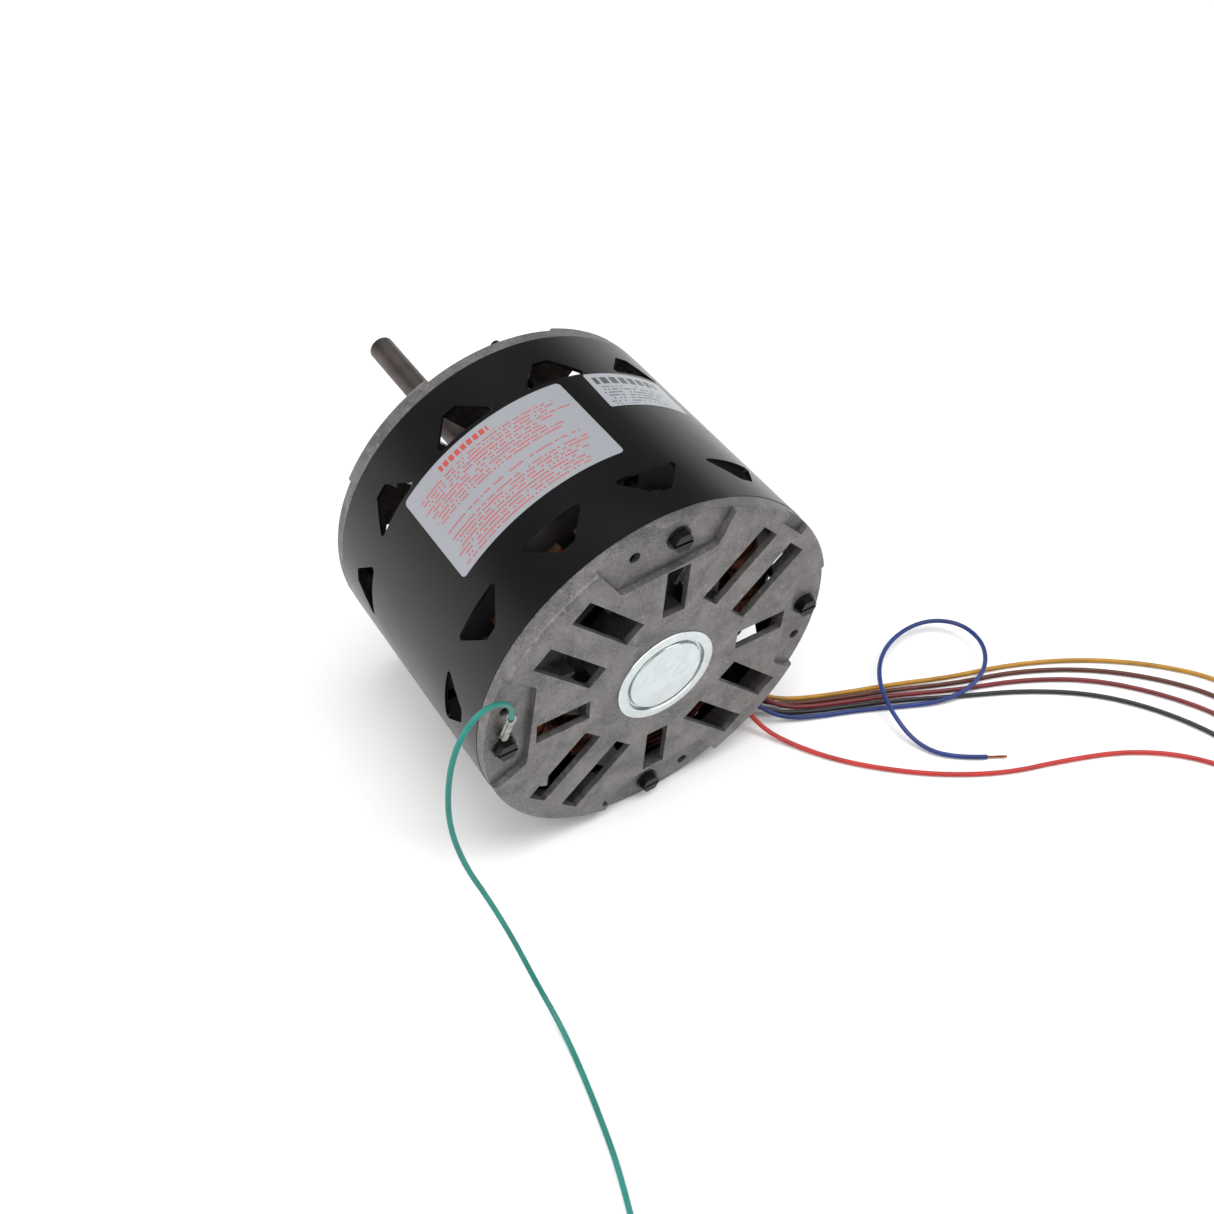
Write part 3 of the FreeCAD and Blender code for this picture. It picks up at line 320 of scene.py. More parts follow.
def printedFilm(name, film, ink, rows, cells, title, density):
    # polyester film with rows of short dashes where print would be, none of them a letter
    material, tree, surface, _ = newMaterial(name)
    surface.inputs["Roughness"].default_value = 0.38
    surface.inputs["Coat Weight"].default_value = 0.2
    uv = addNode(tree, "UVMap", uv_map="film").outputs["UV"]
    split = addNode(tree, "SeparateXYZ", {"Vector": uv})

    def calc(operation, first, second=0.0, third=0.0):
        return addNode(tree, "Math", {0: first, 1: second, 2: third}, operation=operation).outputs[0]

    across, down = split.outputs["X"], split.outputs["Y"]
    rowPlace = calc("MULTIPLY", down, rows)
    row = calc("FLOOR", rowPlace)
    inRow = calc("FRACT", rowPlace)
    band = calc("MULTIPLY", calc("GREATER_THAN", inRow, 0.28), calc("LESS_THAN", inRow, 0.72))
    cell = calc("FLOOR", calc("MULTIPLY", across, cells))
    glyph = addNode(tree, "TexWhiteNoise", {"Vector": addNode(tree, "CombineXYZ", {
        "X": cell, "Y": row}).outputs["Vector"]}, noise_dimensions="2D").outputs["Value"]
    gap = calc("LESS_THAN", calc("FRACT", calc("MULTIPLY", across, cells)), 0.72)
    inked = calc("MULTIPLY", calc("GREATER_THAN", glyph, density), gap)
    ragged = addNode(tree, "TexWhiteNoise", {"W": row}, noise_dimensions="1D").outputs["Color"]
    ends = addNode(tree, "SeparateColor", {"Color": ragged})
    left = calc("MULTIPLY_ADD", ends.outputs["Red"], 0.05, 0.05)
    right = calc("SUBTRACT", 0.96, calc("MULTIPLY", ends.outputs["Green"], 0.2))
    inside = calc("MULTIPLY", calc("GREATER_THAN", across, left), calc("LESS_THAN", across, right))
    blank = calc("GREATER_THAN", ends.outputs["Blue"], 0.12)  # a few rows stay empty between paragraphs
    margin = calc("MULTIPLY", calc("GREATER_THAN", down, 0.05), calc("LESS_THAN", down, title["from"]))
    kept = calc("MULTIPLY", inside, calc("MULTIPLY", blank, margin))
    text = calc("MULTIPLY", calc("MULTIPLY", band, inked), kept)
    headBand = calc("MULTIPLY", calc("GREATER_THAN", down, title["low"]),
                    calc("LESS_THAN", down, title["high"]))
    headSpan = calc("MULTIPLY", calc("GREATER_THAN", across, title["left"]),
                    calc("LESS_THAN", across, title["right"]))
    headBars = calc("GREATER_THAN", calc("FRACT", calc("MULTIPLY", across, title["bars"])), 0.3)
    head = calc("MULTIPLY", calc("MULTIPLY", headBand, headSpan), headBars)
    covered = calc("MAXIMUM", text, head)
    tone = addNode(tree, "Mix", {"Factor": covered, "A": linearColour(film), "B": linearColour(ink)},
                   data_type="RGBA")
    linkToSurface(tree, surface, tone)
    return material


finishes = {
    "enamel": satinBlackEnamel(),
    "casting": castAluminium(),
    "zincSheet": brightZinc(),
    # black oxide on steel, from a hot bath and oiled: near black with a dull sheen
    "blackOxide": metalFinish("blackOxide", "#121213", "#262628", 0.38, 4, 0.7),
    # zinc plate passivated blue: pale and slightly cold
    "blueZinc": metalFinish("blueZinc", "#7f949f", "#a3b9c1", 0.3, 5, 0.6),
    "groundSteel": groundSteel(),
    "laminations": stampedLaminations(),
    # pressure cast rotor bars and rings: light grey and rough
    "rotorCast": metalFinish("rotorCast", "#8c8c8f", "#b2b2b4", 0.5, 7, 0.9, 0.7, 0.3),
    "copper": enamelledCopper(),
    # polyester slot film under varnish: brown with a soft gloss
    "linerFilm": plasticFinish("linerFilm", "#563f29", "#38281a", 0.4, 0.2),
    # braided polyester cord soaked in varnish: dark tan and rough
    "lacing": plasticFinish("lacing", "#69492b", "#432e1b", 0.7, 0.0, 0.4, 0.5, 6),
    # sintered bronze bearing: warm, grainy and oily
    "bronze": metalFinish("sinteredBronze", "#7a5228", "#a5763c", 0.5, 3, 1.0, 0.4, 0.3),
    # wool felt full of oil: tan and without any shine
    "felt": plasticFinish("oilFelt", "#a3906a", "#6d5c3e", 0.95, 0.0, 0.5, 0.9, 5),
    # tempered spring steel: dark blue grey and smooth
    "springSteel": metalFinish("springSteel", "#3c3c42", "#5c5c62", 0.35, 6),
    # vulcanised fibre washers: red brown and half matt
    "phenolic": plasticFinish("thrustFibre", "#6b4322", "#4a2c16", 0.55),
    # moulded rubber: black, matt, with a fine skin
    "rubber": plasticFinish("mouldedRubber", "#1a1a1b", "#111112", 0.7, 0.0, 0.7, 0.2),
    # moulded thermoset case: dark grey with some gloss
    "cutoutCase": plasticFinish("cutoutCase", "#3a3a3d", "#26262a", 0.35, 0.3),
    # tinned copper terminal, pressed and crimped: dull silver with small blotches
    "tinPlate": metalFinish("tinPlate", "#7b7a75", "#9f9d98", 0.3, 2.5, 1.0, 0.5, 0.15),
    # bare drawn copper strand: bright red gold
    "bareCopper": metalFinish("bareCopper", "#a65a35", "#cf8a5f", 0.25, 3, 1.0, 0.4, 0.1),
}
print("materials made")

# camera place in metres, its angles in degrees, its lens in mm
view = {"place": (-0.2362, -0.3374, 0.4166), "turn": 36.88, "down": 46.61, "roll": 4.93, "lens": 40.5}
cameraData = bpy.data.cameras.new("camera")
cameraData.lens = view["lens"]
cameraData.sensor_width = 36
cameraData.clip_start = 0.01
camera = bpy.data.objects.new("camera", cameraData)
bpy.context.scene.collection.objects.link(camera)
camera.matrix_world = (Matrix.Translation(view["place"])
                       @ Matrix.Rotation(math.radians(-view["turn"]), 4, "Z")
                       @ Matrix.Rotation(math.radians(90 - view["down"]), 4, "X")
                       @ Matrix.Rotation(math.radians(view["roll"]), 4, "Z"))
bpy.context.scene.camera = camera


def pvcInsulation(name, colour, shade):
    # extruded PVC insulation: full colour, half matt, very fine skin
    return plasticFinish(name, colour, shade, 0.44, 0.0, 0.9, 0.04, 12)


leadDiameter = 0.0022
leads = {  # length in metres, route in mm
    "lead_yellow": {"colour": "#b5831f", "shade": "#9a6d18", "length": 0.299, "slot": "pvc_yellow", "route": [
        (56.6, -40.9, -60.3), (63.6, -41.6, -67.0), (71.5, -45.8, -74.6), (81.0, -52.0, -79.4),
        (93.0, -57.2, -81.4), (112.0, -64.6, -81.4), (139.0, -73.8, -81.4), (166.0, -84.5, -81.4),
        (199.0, -94.0, -81.4), (232.0, -109.5, -81.4), (262.0, -131.0, -81.4), (285.0, -157.0, -81.4),
        (297.0, -188.0, -81.4)]},
    "lead_brown": {"colour": "#572614", "shade": "#431c0f", "length": 0.299, "slot": "pvc_brown", "route": [
        (54.8, -40.9, -61.9), (62.0, -42.0, -69.4), (69.5, -47.2, -76.2), (80.0, -54.6, -80.3),
        (93.0, -60.3, -81.4), (112.0, -67.6, -81.4), (138.0, -77.0, -81.4), (165.0, -88.5, -81.4),
        (197.0, -98.2, -81.4), (229.0, -115.0, -81.4), (256.0, -138.0, -81.4), (276.0, -165.0, -81.4),
        (286.0, -198.0, -81.4)]},
    "lead_maroon": {"colour": "#761f22", "shade": "#5f1719", "length": 0.298, "slot": "pvc_maroon", "route": [
        (57.5, -43.0, -59.5), (64.9, -45.0, -66.9), (73.0, -51.0, -74.2), (82.0, -58.4, -79.4),
        (93.5, -63.4, -81.4), (112.0, -70.6, -81.4), (137.0, -80.2, -81.4), (164.0, -92.5, -81.4),
        (195.0, -103.4, -81.4), (226.0, -121.0, -81.4), (250.0, -146.0, -81.4), (267.0, -174.0, -81.4),
        (276.0, -211.0, -81.4)]},
    "lead_black": {"colour": "#1a1a1f", "shade": "#121216", "length": 0.296, "slot": "pvc_black", "route": [
        (53.9, -43.0, -62.7), (61.0, -45.2, -70.4), (68.6, -51.6, -77.2), (79.5, -60.2, -80.6),
        (93.0, -66.4, -81.4), (112.0, -73.7, -81.4), (136.0, -83.4, -81.4), (162.0, -96.0, -81.4),
        (192.0, -109.5, -81.4), (221.0, -129.0, -81.4), (242.0, -154.0, -81.4), (256.0, -184.0, -81.4),
        (264.0, -220.0, -81.4)]},
    "lead_blue": {"colour": "#143078", "shade": "#102661", "length": 0.316, "slot": "pvc_blue", "route": [
        (56.6, -45.1, -60.3), (62.8, -48.4, -67.0), (68.6, -55.2, -74.2), (77.5, -63.2, -79.6),
        (92.0, -69.6, -81.4), (113.0, -77.2, -81.4), (134.0, -86.6, -81.4), (150.0, -93.8, -80.8),
        (166.0, -97.0, -77.0), (181.0, -92.0, -74.6), (191.0, -79.0, -74.6), (191.0, -63.0, -76.0),
        (178.0, -52.5, -76.5), (158.0, -52.5, -75.8), (140.0, -60.0, -74.6), (127.5, -73.0, -74.2),
        (121.5, -90.0, -75.4), (122.5, -107.0, -80.4), (131.5, -121.0, -81.4), (147.0, -129.5, -81.4)]},
    "lead_red": {"colour": "#b8271f", "shade": "#a11f18", "length": 0.298, "slot": "pvc_red", "route": [
        (54.8, -45.1, -61.9), (59.2, -48.8, -67.8), (62.4, -56.5, -74.6), (66.5, -66.5, -79.8),
        (74.0, -79.0, -81.4), (84.5, -94.0, -81.4), (100.0, -109.5, -81.4), (121.0, -126.0, -81.4),
        (148.0, -141.0, -81.4), (178.0, -150.0, -81.4), (209.0, -162.0, -81.4), (234.0, -181.0, -81.4),
        (249.0, -206.0, -81.4), (255.0, -236.0, -81.4)]},
    "ground_lead": {"colour": "#047a70", "shade": "#046a60", "length": 0.288, "slot": "pvc_green", "route": [
        (-73.9, -68.8, 22.5), (-74.6, -71.3, 31.5), (-80.5, -73.0, 40.5), (-91.0, -75.6, 44.5),
        (-101.0, -78.8, 39.0), (-107.5, -82.0, 25.0), (-110.4, -86.5, 4.0), (-107.5, -92.5, -17.0),
        (-101.5, -99.0, -35.5), (-96.0, -108.0, -56.0), (-92.5, -122.0, -75.0), (-92.0, -141.0, -81.4),
        (-97.0, -170.0, -81.4), (-105.0, -204.0, -81.4), (-118.0, -237.0, -81.4)]},
}
strandSpec = {"stripped": 10, "bundle": 0.55, "wire": 0.34, "twist": 0.6, "hidden": 0.5, "steps": 14}


def strandBundle(start, toward):
    # seven bare wires twisted together along a short straight run
    s = strandSpec
    mesh = bmesh.new()
    turnTo = toward.normalized().to_track_quat("Z", "Y").to_matrix()
    bundle = s["bundle"] * mm
    wire = bundle * s["wire"]
    for k in range(7):
        reach = 0 if k == 6 else bundle - wire
        rings = []
        for i in range(s["steps"] + 1):
            t = i / s["steps"]
            angle = k * math.tau / 6 + t * s["twist"] * math.tau
            centre = start + turnTo @ Vector((reach * math.cos(angle), reach * math.sin(angle),
                                              s["stripped"] * mm * t))
            spokes = [Vector((wire * math.cos(a), wire * math.sin(a), 0)) for a in fullTurn(6)]
            corners, ring = closedLoop(mesh, [centre + turnTo @ spoke for spoke in spokes])
            rings.append(ring)
            if i in (0, s["steps"]):
                mesh.faces.new(corners if i else corners[::-1])
        bridgeAll(mesh, rings)
    bmesh.ops.recalc_face_normals(mesh, faces=mesh.faces)
    return mesh


def leadCurve(name, route, sides, steps, material):
    # insulation as a round cord along a loose spline, its route in mm
    data = bpy.data.curves.new(name, "CURVE")
    data.dimensions = "3D"
    data.bevel_depth = leadDiameter / 2
    data.bevel_resolution = sides
    data.resolution_u = steps
    data.use_fill_caps = True
    spline = data.splines.new("NURBS")
    spline.points.add(len(route) - 1)
    for point, place in zip(spline.points, route):
        point.co = [c * mm for c in place] + [1.0]
    spline.order_u = 3
    spline.use_endpoint_u = True
    data.materials.append(material)
    piece = bpy.data.objects.new(name, data)
    bpy.context.scene.collection.objects.link(piece)
    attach(piece, "motor_frame")
    return piece


def makeLeads():
    for name, lead in leads.items():
        pvc = pvcInsulation(name + "_pvc", lead["colour"], lead["shade"])
        piece = leadCurve(name + "_insulation", lead["route"], 4, 10, pvc)
        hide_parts(name)
        last, before = (Vector(lead["route"][i]) * mm for i in (-1, -2))
        bare = strandBundle(last - (last - before).normalized() * strandSpec["hidden"] * mm, last - before)
        tip = finish(bare, name + "_strands", "motor_frame", finishes["bareCopper"],
                     ["stripped_ends"] if name == "lead_yellow" else ())


makeLeads()
print("leads made")


shellSpec = {"radius": 82.5, "wall": 1.5, "half": 57.2, "vents": 12, "firstVent": 27, "base": 30.2,
             "top": 6.8, "height": 13.3, "frontEdge": 11.3, "rearEdge": 14.5, "corner": 1.4,
             "edgeRound": 0.35, "columns": 20, "rows": 12}


def roundedOutline(corners, radius, steps=5):
    # corners of a closed outline in order, each swapped for a short arc
    points = []
    for i, corner in enumerate(corners):
        here = Vector(corner)
        back = (Vector(corners[i - 1]) - here).normalized()
        ahead = (Vector(corners[(i + 1) % len(corners)]) - here).normalized()
        half = back.angle(ahead) / 2
        reach = radius / math.tan(half)
        centre = here + (back + ahead).normalized() * radius / math.sin(half)
        start, end = here + back * reach - centre, here + ahead * reach - centre
        turn = start.angle_signed(end)
        for k in range(steps + 1):
            spoke = start.copy()
            spoke.rotate(Matrix.Rotation(-turn * k / steps, 2))
            points.append(centre + spoke)
    return points


def makeShell():
    # one vent's share of the wall is made flat, bent round and repeated, then given its thickness
    s = shellSpec
    outer = s["radius"]
    pitch = math.tau / s["vents"] * outer  # arc length of one share
    outlines = [[(-pitch / 2, -s["half"]), (pitch / 2, -s["half"]), (pitch / 2, s["half"]),
                 (-pitch / 2, s["half"])]]
    for sign, inset in ((-1, s["frontEdge"]), (1, s["rearEdge"])):
        top = sign * (s["half"] - inset)
        base = top - sign * s["height"]
        vent = [(-s["base"] / 2, base), (s["base"] / 2, base), (s["top"] / 2, top), (-s["top"] / 2, top)]
        if sign > 0:
            vent.reverse()
        outlines.append(roundedOutline(vent, s["corner"]))
    flat = bmesh.new()
    edges = []
    for outline in outlines:
        edges += closedLoop(flat, [(x * mm, y * mm, 0) for x, y in outline])[1]
    bmesh.ops.triangle_fill(flat, use_beauty=True, use_dissolve=False, edges=edges)
    sliceSheet(flat, s["columns"], pitch, (1, 0, 0))
    sliceSheet(flat, s["rows"], 2 * s["half"], (0, 1, 0))
    panel = bmesh.new()
    passing = bpy.data.meshes.new("passing")
    for k in range(s["vents"]):
        share = flat.copy()
        wrapRound(share, math.radians(s["firstVent"] + 360 / s["vents"] * k), outer, outer)
        share.to_mesh(passing)
        share.free()
        panel.from_mesh(passing)
    bpy.data.meshes.remove(passing)
    flat.free()
    bmesh.ops.remove_doubles(panel, verts=panel.verts, dist=2e-6)
    bmesh.ops.recalc_face_normals(panel, faces=panel.faces)
    faceOutwards(panel)
    bmesh.ops.solidify(panel, geom=panel.faces[:], thickness=s["wall"] * mm)
    bmesh.ops.recalc_face_normals(panel, faces=panel.faces)
    softenSharpEdges(panel, s["edgeRound"], 50)
    evenFaces(finish(panel, "vented_shell", "motor_frame", finishes["enamel"], ["shell"], 50))


makeShell()
print("shell made")


castingSpec = {"crisp": 0.3, "soft": 1.3, "softFrom": 61.5, "face": 62.2, "slotBand": 17.5, "pastSlots": 76,
               "holeFacet": 0.9}


def makeCastings():
    # slot and hole edges stay crisp, the walls of the pads and the rim are cast round
    c = castingSpec
    for node in ("front_end_shield", "rear_end_shield"):
        mesh = cadCopy(node)
        soft = []
        for edge in mesh.edges:
            middle = (edge.verts[0].co + edge.verts[1].co) / 2 / mm
            radius = math.hypot(middle.x, middle.z)
            offDiagonal = min(abs(middle.x - middle.z), abs(middle.x + middle.z)) / math.sqrt(2)
            turns = edge.is_manifold and edge.calc_face_angle(0) > math.radians(40)
            onPad = radius > c["softFrom"] and abs(middle.y) > c["face"]
            onHole = edge.calc_length() < c["holeFacet"] * mm
            if turns and onPad and not onHole and (offDiagonal > c["slotBand"] or radius > c["pastSlots"]):
                soft.append(edge)
        bmesh.ops.bevel(mesh, geom=soft, offset=c["soft"] * mm, affect="EDGES", segments=3, profile=0.5,
                        material=-1, clamp_overlap=True)
        softenSharpEdges(mesh, c["crisp"], 50)
        evenFaces(finish(mesh, node + "_casting", "motor_frame", finishes["casting"], [node],
                         40))


capSpec = {"face": -65.3, "radius": 23.1, "metal": 0.8, "groove": 18.0, "rise": 1.8, "seat": 19.0,
           "domeSteps": 12}


def makeCap():
    # pressed oil cap: shallow dome, deep groove round it, flat flange with a curled edge
    c = capSpec
    face = c["face"]
    dome = [(c["groove"] - 1.2) * k / c["domeSteps"] for k in range(c["domeSteps"] + 1)]
    outer = [(r, face - c["rise"] + 1.0 * (r / dome[-1]) ** 2.4) for r in dome]
    inner = [(r, y + c["metal"]) for r, y in outer][::-1]
    outer += [(17.0, face - 0.62), (17.15, face - 0.2), (17.2, face + 0.7), (17.4, face + 1.15),
              (17.9, face + 1.3), (18.4, face + 1.15), (18.6, face + 0.7), (18.65, face - 0.4),
              (18.85, face - 0.85), (19.4, face - 1.1), (20.2, face - 1.0), (21.0, face - c["metal"]),
              (22.6, face - c["metal"]), (22.95, face - 0.68), (23.1, face - 0.35),
              (c["radius"], face - 0.01), (c["seat"], face - 0.01), (c["seat"], face + 2), (16.8, face + 2)]
    finish(turnedMesh(outer + inner, 128), "oil_cap", "motor_frame", finishes["zincSheet"],
           ["front_bearing_cap"], 30)


fastenerSpec = {  # finish, slot, edge rounding in mm
    "through_bolts": ("blackOxide", "black_oxide_steel", 0.18),
    "bolt_nuts": ("blueZinc", "zinc_steel", 0.2),
    "lock_washers": ("blueZinc", "zinc_steel", 0.12),
}


def makeFasteners():
    for node, (finishName, slotName, rounding) in fastenerSpec.items():
        mesh = cadCopy(node)
        softenSharpEdges(mesh, rounding, 40)
        evenFaces(finish(mesh, node + "_finished", "motor_frame", finishes[finishName], [node], 40))


threadSpec = {"radius": 2.46, "root": 2.1, "pitch": 1.0, "flank": 0.45, "from": 63.4, "to": 70.6,
              "circle": 74, "perTurn": 20}


def makeThreads():
    # rolled thread on the free end of each through bolt, as one helix of a low ridge
    t = threadSpec
    mesh = bmesh.new()
    turns = int((t["to"] - t["from"]) / t["pitch"])
    ridge = ((t["root"], -t["flank"]), (t["radius"], 0), (t["root"], t["flank"]))
    for angle in fullTurn(4):
        centre = Vector((t["circle"] * math.cos(angle), 0, t["circle"] * math.sin(angle)))
        corners, edges = closedLoop(mesh, [(centre + Vector((r, t["from"] + y, 0))) * mm for r, y in ridge])
        bmesh.ops.spin(mesh, geom=corners + edges, cent=centre * mm, axis=(0, 1, 0), angle=turns * math.tau,
                       dvec=(0, t["pitch"] * mm / t["perTurn"], 0), steps=turns * t["perTurn"],
                       use_merge=False, use_duplicate=False)
    bmesh.ops.holes_fill(mesh, edges=[e for e in mesh.edges if e.is_boundary], sides=3)
    bmesh.ops.recalc_face_normals(mesh, faces=mesh.faces)
    finish(mesh, "bolt_threads", "motor_frame", finishes["blackOxide"], (), 30)


makeCastings()
makeCap()
makeFasteners()
makeThreads()
print("castings, cap and fasteners made")


windingSpec = {"wire": 1.05, "inner": 50.8, "outer": 65.5, "front": (-34.0, -45.0), "rear": (31.0, 42.0),
               "round": 4.5, "lap": 0.86, "wobble": 0.55, "waves": 2.2, "steps": 108,
               "seed": {"front": 11, "rear": 7}}


def makeWinding(word, sign):
    # end turn drawn as strands that wander round the ring, each drawn 1 mm thick so that it shows
    w = windingSpec
    root, tip = w[word][0], w[word][1] - sign * w["wire"] / 2
    low, high = w["inner"] + w["wire"] / 2, w["outer"] - w["wire"] / 2
    section = roundedOutline([(low, root), (high, root), (high, tip), (low, tip)][::-sign], w["round"], 6)
    lengths = [(section[(i + 1) % len(section)] - section[i]).length for i in range(len(section))]
    total = sum(lengths)
    strands = int(total / (w["wire"] * w["lap"]))
    mesh = bmesh.new()
    passing = bpy.data.meshes.new("passing")
    shuffle = random.Random(w["seed"][word])
    for k in range(strands):
        walk = total * k / strands
        i = 0
        while walk > lengths[i]:
            walk -= lengths[i]
            i += 1
        spot = section[i].lerp(section[(i + 1) % len(section)], walk / lengths[i])
        radius = w["wire"] / 2 * shuffle.uniform(0.88, 1.06)
        strand = turnedMesh([(spot.x + radius * math.cos(a), spot.y + radius * math.sin(a))
                             for a in fullTurn(6)], w["steps"])
        phase = shuffle.uniform(0, 50)
        for vertex in strand.verts:
            angle = math.atan2(vertex.co.z, vertex.co.x)
            sway = Vector((math.cos(angle) * w["waves"], math.sin(angle) * w["waves"], phase))
            reach = 1 + w["wobble"] * mm * noise.noise(sway) / math.hypot(vertex.co.x, vertex.co.z)
            vertex.co.x *= reach
            vertex.co.z *= reach
            vertex.co.y += w["wobble"] * mm * noise.noise(sway + Vector((9, 0, 0)))
        strand.to_mesh(passing)
        strand.free()
        mesh.from_mesh(passing)
    bpy.data.meshes.remove(passing)
    finish(mesh, "end_turn_wires_" + word, "motor_frame", finishes["copper"], (), 80)


makeWinding("front", -1)
makeWinding("rear", 1)
print("windings made")


labelSpecs = {  # angles round the shell in degrees, heights along it in mm
    "warning_label": {"first": 87.5, "last": 143.4, "low": -20.6, "high": 27.2, "corner": 2.0, "tilt": 0,
                      "film": "#92949a", "ink": "#b04a45", "rows": 26, "cells": 84, "density": 0.24,
                      "slot": "label_film", "title": {"from": 0.86, "low": 0.885, "high": 0.945,
                                                      "left": 0.25, "right": 0.56, "bars": 26}},
    "rating_label": {"first": 50.0, "last": 79.3, "low": 4.6, "high": 27.6, "corner": 1.0, "tilt": -2.5,
                     "film": "#989ba0", "ink": "#3c3f46", "rows": 11, "cells": 44, "density": 0.4,
                     "slot": "rating_film", "title": {"from": 0.6, "low": 0.68, "high": 0.88,
                                                      "left": 0.06, "right": 0.86, "bars": 9}},
}
filmThickness = 0.07
labelColumns = 40


def makeLabel(name):
    s = labelSpecs[name]
    radius = shellSpec["radius"]
    wide = radius * math.radians(s["last"] - s["first"])
    tall = s["high"] - s["low"]
    outline = roundedOutline([(-wide / 2, -tall / 2), (wide / 2, -tall / 2), (wide / 2, tall / 2),
                              (-wide / 2, tall / 2)], s["corner"])
    mesh = bmesh.new()
    mesh.faces.new([mesh.verts.new((p.x * mm, p.y * mm, 0)) for p in outline])
    sliceSheet(mesh, labelColumns, wide, (1, 0, 0))
    layer = mesh.loops.layers.uv.new("film")
    for face in mesh.faces:
        for corner in face.loops:
            corner[layer].uv = (corner.vert.co.x / (wide * mm) + 0.5, corner.vert.co.y / (tall * mm) + 0.5)
    bmesh.ops.rotate(mesh, verts=mesh.verts, cent=(0, 0, 0),
                     matrix=Matrix.Rotation(math.radians(s["tilt"]), 3, "Z"))
    wrapRound(mesh, math.radians((s["first"] + s["last"]) / 2), radius, radius + filmThickness,
              (s["low"] + s["high"]) / 2)
    bmesh.ops.recalc_face_normals(mesh, faces=mesh.faces)
    faceOutwards(mesh)
    rim = bmesh.ops.extrude_edge_only(mesh, edges=[e for e in mesh.edges if e.is_boundary])
    for vertex in [v for v in rim["geom"] if isinstance(v, bmesh.types.BMVert)]:
        outward = Vector((vertex.co.x, 0, vertex.co.z)).normalized()
        vertex.co -= outward * filmThickness * mm
    material = printedFilm(name + "_print", s["film"], s["ink"], s["rows"], s["cells"], s["title"],
                           s["density"])
    finish(mesh, name + "_film", "motor_frame", material, [name], 40)


makeLabel("warning_label")
makeLabel("rating_label")
print("labels made")


terminalSpec = {
    "back": -62.3, "plate": 0.9, "ring": 5.2, "hole": 2.5, "ringSides": 40, "circle": 74, "tongue": 4.4,
    "tonguePath": [(-74, -62.75, 4.6), (-74.2, -62.75, 6.2), (-74.6, -64.0, 7.6)],
    "barrelFrom": (-74.9, -65.0, 8.2), "barrelTo": (-73.9, -68.8, 22.5), "barrel": 1.9, "barrelSides": 28,
    "wall": 0.55, "seam": 0.45, "stations": [0, 0.12, 0.2, 0.3, 0.4, 0.5, 0.6, 0.7, 0.78, 0.9, 1.0],
    "dents": {0.3: 0.72, 0.7: 0.76},
}


def makeTerminal():
    t = terminalSpec
    mesh = bmesh.new()
    centre = Vector((-t["circle"], 0, 0))
    ring = []
    for level in (t["back"], t["back"] - t["plate"]):
        for reach in (t["ring"], t["hole"]):
            spokes = [Vector((reach * math.cos(a), level, reach * math.sin(a)))
                      for a in fullTurn(t["ringSides"])]
            ring.append(closedLoop(mesh, [(centre + spoke) * mm for spoke in spokes])[1])
    bridgeAll(mesh, [ring[0], ring[1], ring[3], ring[2], ring[0]])
    start, end = Vector(t["barrelFrom"]), Vector(t["barrelTo"])
    # tongue: a strip that leaves the ring, bends out of the pad and meets the barrel
    path = [Vector(spot) for spot in t["tonguePath"]] + [start + (end - start) * 0.1]
    strip = []
    for spot in path:
        corners, edges = closedLoop(mesh, [(spot + Vector((x * t["tongue"] / 2, y * t["plate"] / 2, 0))) * mm
                                           for x, y in ((-1, -1), (1, -1), (1, 1), (-1, 1))])
        strip.append(edges)
        if spot in (path[0], path[-1]):
            mesh.faces.new(corners)
    bridgeAll(mesh, strip)
    # barrel: an open seam along it and two crimp dents
    turnTo = (end - start).normalized().to_track_quat("Z", "Y").to_matrix()
    inside, outside = [], []
    for station in t["stations"]:
        squeeze = t["dents"].get(station, 1.0)
        for wall, reach in ((outside, t["barrel"]), (inside, t["barrel"] - t["wall"])):
            points = []
            for a in fullTurn(t["barrelSides"]):
                seam = t["seam"] * math.exp(-((a - math.pi) / 0.22) ** 2)
                r = (reach - seam) * (1 if abs(math.sin(a)) < 0.6 else squeeze)
                along = (end - start).length * station
                points.append((start + turnTo @ Vector((r * math.cos(a), r * math.sin(a), along))) * mm)
            wall.append(closedLoop(mesh, points)[1])
    bridgeAll(mesh, outside)
    bridgeAll(mesh, inside)
    for i in (0, -1):
        bridgeAll(mesh, [outside[i], inside[i]])
    bmesh.ops.recalc_face_normals(mesh, faces=mesh.faces)
    finish(mesh, "ring_terminal", "motor_frame", finishes["tinPlate"], ["ground_terminal"],
           45)


makeTerminal()
print("terminal made")


harnessSpec = {"spine": [(8.0, -46.4, -73.3), (19.0, -47.0, -73.0), (31.0, -46.6, -69.0),
                         (42.0, -44.6, -61.5), (50.0, -43.2, -56.4)],
               "spread": 2.25, "twist": 0.35, "leads": 6}


def makeHarness():
    # the six leads go on inside the shell as one loose bundle
    h = harnessSpec
    for index, (name, lead) in enumerate(list(leads.items())[:h["leads"]]):
        route = []
        for k, place in enumerate(h["spine"]):
            angle = index * math.tau / h["leads"] + k * h["twist"]
            offset = Vector((0.35 * math.cos(angle), math.cos(angle), math.sin(angle))) * h["spread"]
            route.append(Vector(place) + offset)
        piece = leadCurve(name + "_inner", route, 3, 8, bpy.data.materials[name + "_pvc"])
        if index == 0:
            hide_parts("lead_harness")


makeHarness()
print("inner leads made")


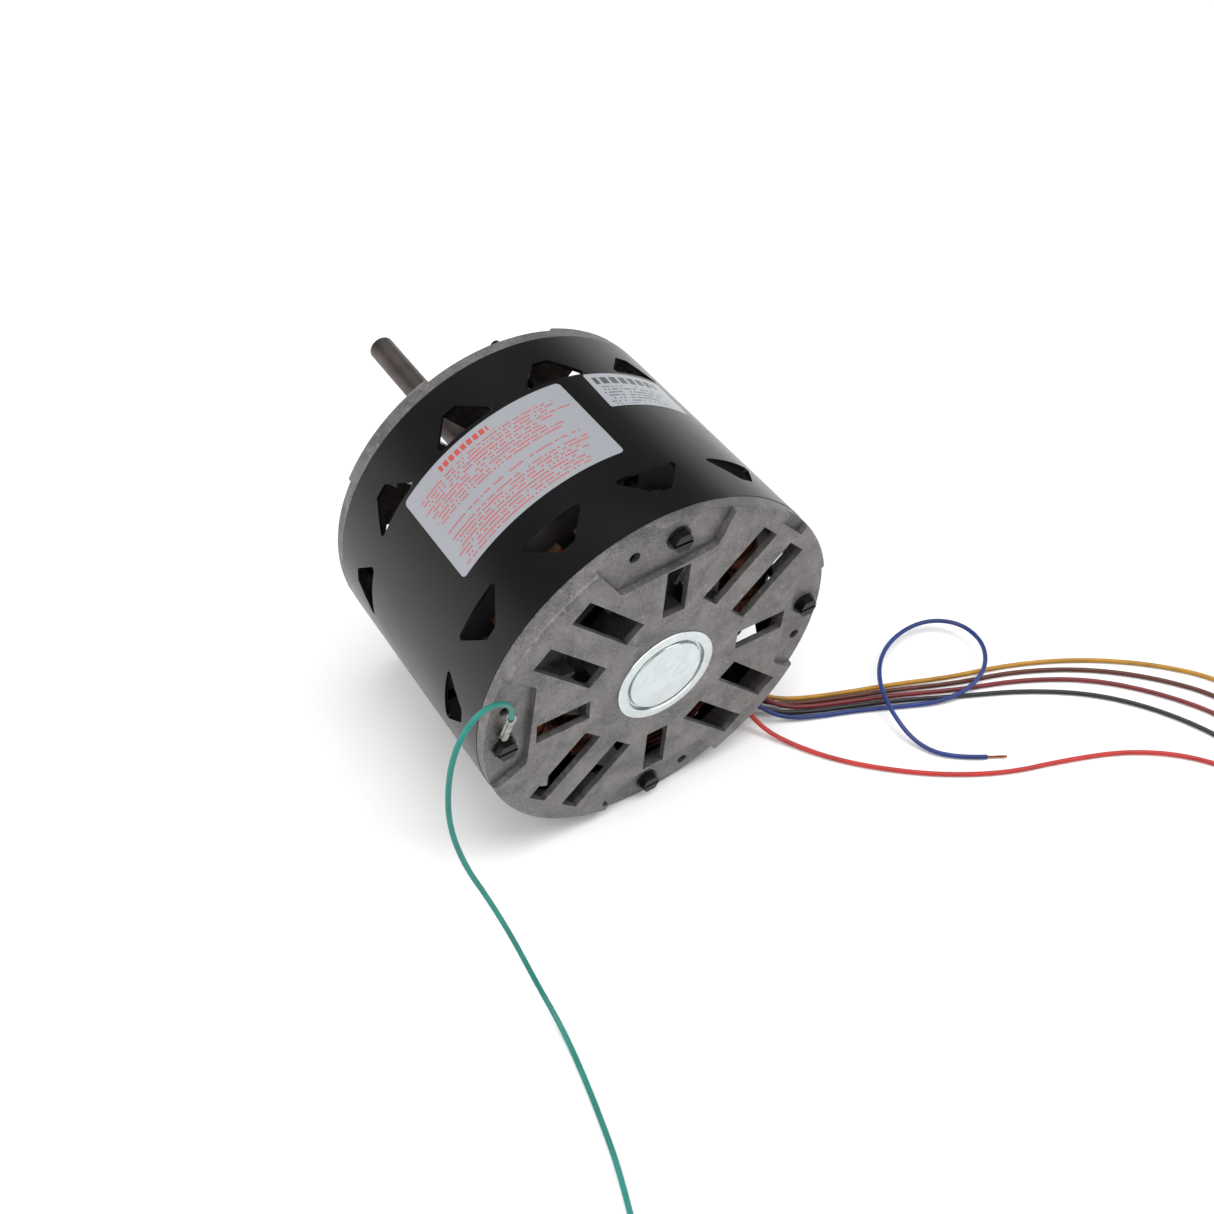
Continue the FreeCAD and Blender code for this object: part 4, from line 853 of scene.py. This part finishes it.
carried = {  # CAD nodes that keep their shape, each with its finish
    "rear_bearing_cover": "zincSheet", "front_bearing": "bronze", "rear_bearing": "bronze",
    "front_bearing_clip": "springSteel", "rear_bearing_clip": "springSteel", "front_oil_felt": "felt",
    "rear_oil_felt": "felt", "stator_core": "laminations", "slot_liners": "linerFilm",
    "stator_winding": "copper", "winding_lacing": "lacing", "thermal_protector": "cutoutCase",
    "shaft": "groundSteel", "rotor_core": "laminations", "rotor_end_ring_front": "rotorCast",
    "rotor_end_ring_rear": "rotorCast", "front_thrust_washers": "phenolic", "rear_thrust_washers": "phenolic",
    "shaft_collars": "groundSteel", "oil_slinger": "rubber", "shaft_retaining_ring": "springSteel",
    "lead_grommet": "rubber",
}
for node, finishName in carried.items():
    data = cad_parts[node].data
    data.materials.clear()
    data.materials.append(finishes[finishName])
print("carried nodes finished")


stageSpec = {
    "halfSide": 1.7, "gap": 0.0002,  # metres
    "lamps": {  # place, aim, size in metres, watts
        "keyRight": ((0.8, -0.5, 1.1), (0.1, -0.1, 0), 1.0, 11),
        "fillLeft": ((-1.1, -0.2, 1.0), (-0.3, 0, 0), 1.2, 14),
        "behind": ((0.1, 1.3, 0.25), (0, 0.3, 0), 0.9, 5),
    },
}


def makeStage():
    data = bpy.data.meshes.new("floor")
    mesh = bmesh.new()
    bmesh.ops.create_grid(mesh, x_segments=1, y_segments=1, size=stageSpec["halfSide"])
    bmesh.ops.translate(mesh, verts=mesh.verts, vec=(0, 0, -shellSpec["radius"] * mm - stageSpec["gap"]))
    mesh.to_mesh(data)
    mesh.free()
    # uncoated white paper: bright and quite matt
    paper = bpy.data.materials.new("palePaper")
    paper.use_nodes = True
    surface = paper.node_tree.nodes["Principled BSDF"]
    surface.inputs["Base Color"].default_value = (0.92, 0.92, 0.92, 1)
    surface.inputs["Roughness"].default_value = 0.9
    surface.inputs["Specular IOR Level"].default_value = 0.0
    data.materials.append(paper)
    floor = bpy.data.objects.new("floor", data)
    bpy.context.scene.collection.objects.link(floor)
    # world: white sweep all round at eye level, dim ceiling, one round softbox straight above
    world = bpy.data.worlds.new("studio")
    world.use_nodes = True
    tree = world.node_tree
    sky = addNode(tree, "TexCoord").outputs["Generated"]
    upward = addNode(tree, "SeparateXYZ", {"Vector": sky}).outputs["Z"]
    glow = addNode(tree, "MapRange", {"Value": upward, "From Min": 0.08, "From Max": 0.42,
                   "To Min": 1.15, "To Max": 0.12}, interpolation_type="SMOOTHSTEP")
    softbox = addNode(tree, "MapRange", {"Value": upward, "From Min": 0.9, "From Max": 0.97,
                      "To Max": 4.0}, interpolation_type="SMOOTHSTEP")
    strength = addNode(tree, "Math", {0: glow.outputs["Result"], 1: softbox.outputs["Result"]},
                       operation="ADD")
    tree.links.new(strength.outputs[0], tree.nodes["Background"].inputs["Strength"])
    tree.nodes["Background"].inputs["Color"].default_value = (1, 1, 1, 1)
    bpy.context.scene.world = world
    bpy.context.scene.view_settings.view_transform = "Standard"
    for name, (place, aim, wide, power) in stageSpec["lamps"].items():
        light = bpy.data.lights.new(name, "AREA")
        light.size = wide
        light.energy = power
        lamp = bpy.data.objects.new(name, light)
        facing = (Vector(aim) - Vector(place)).to_track_quat("-Z", "Y").to_matrix().to_4x4()
        lamp.matrix_world = Matrix.Translation(place) @ facing
        bpy.context.scene.collection.objects.link(lamp)


makeStage()
print("stage set")
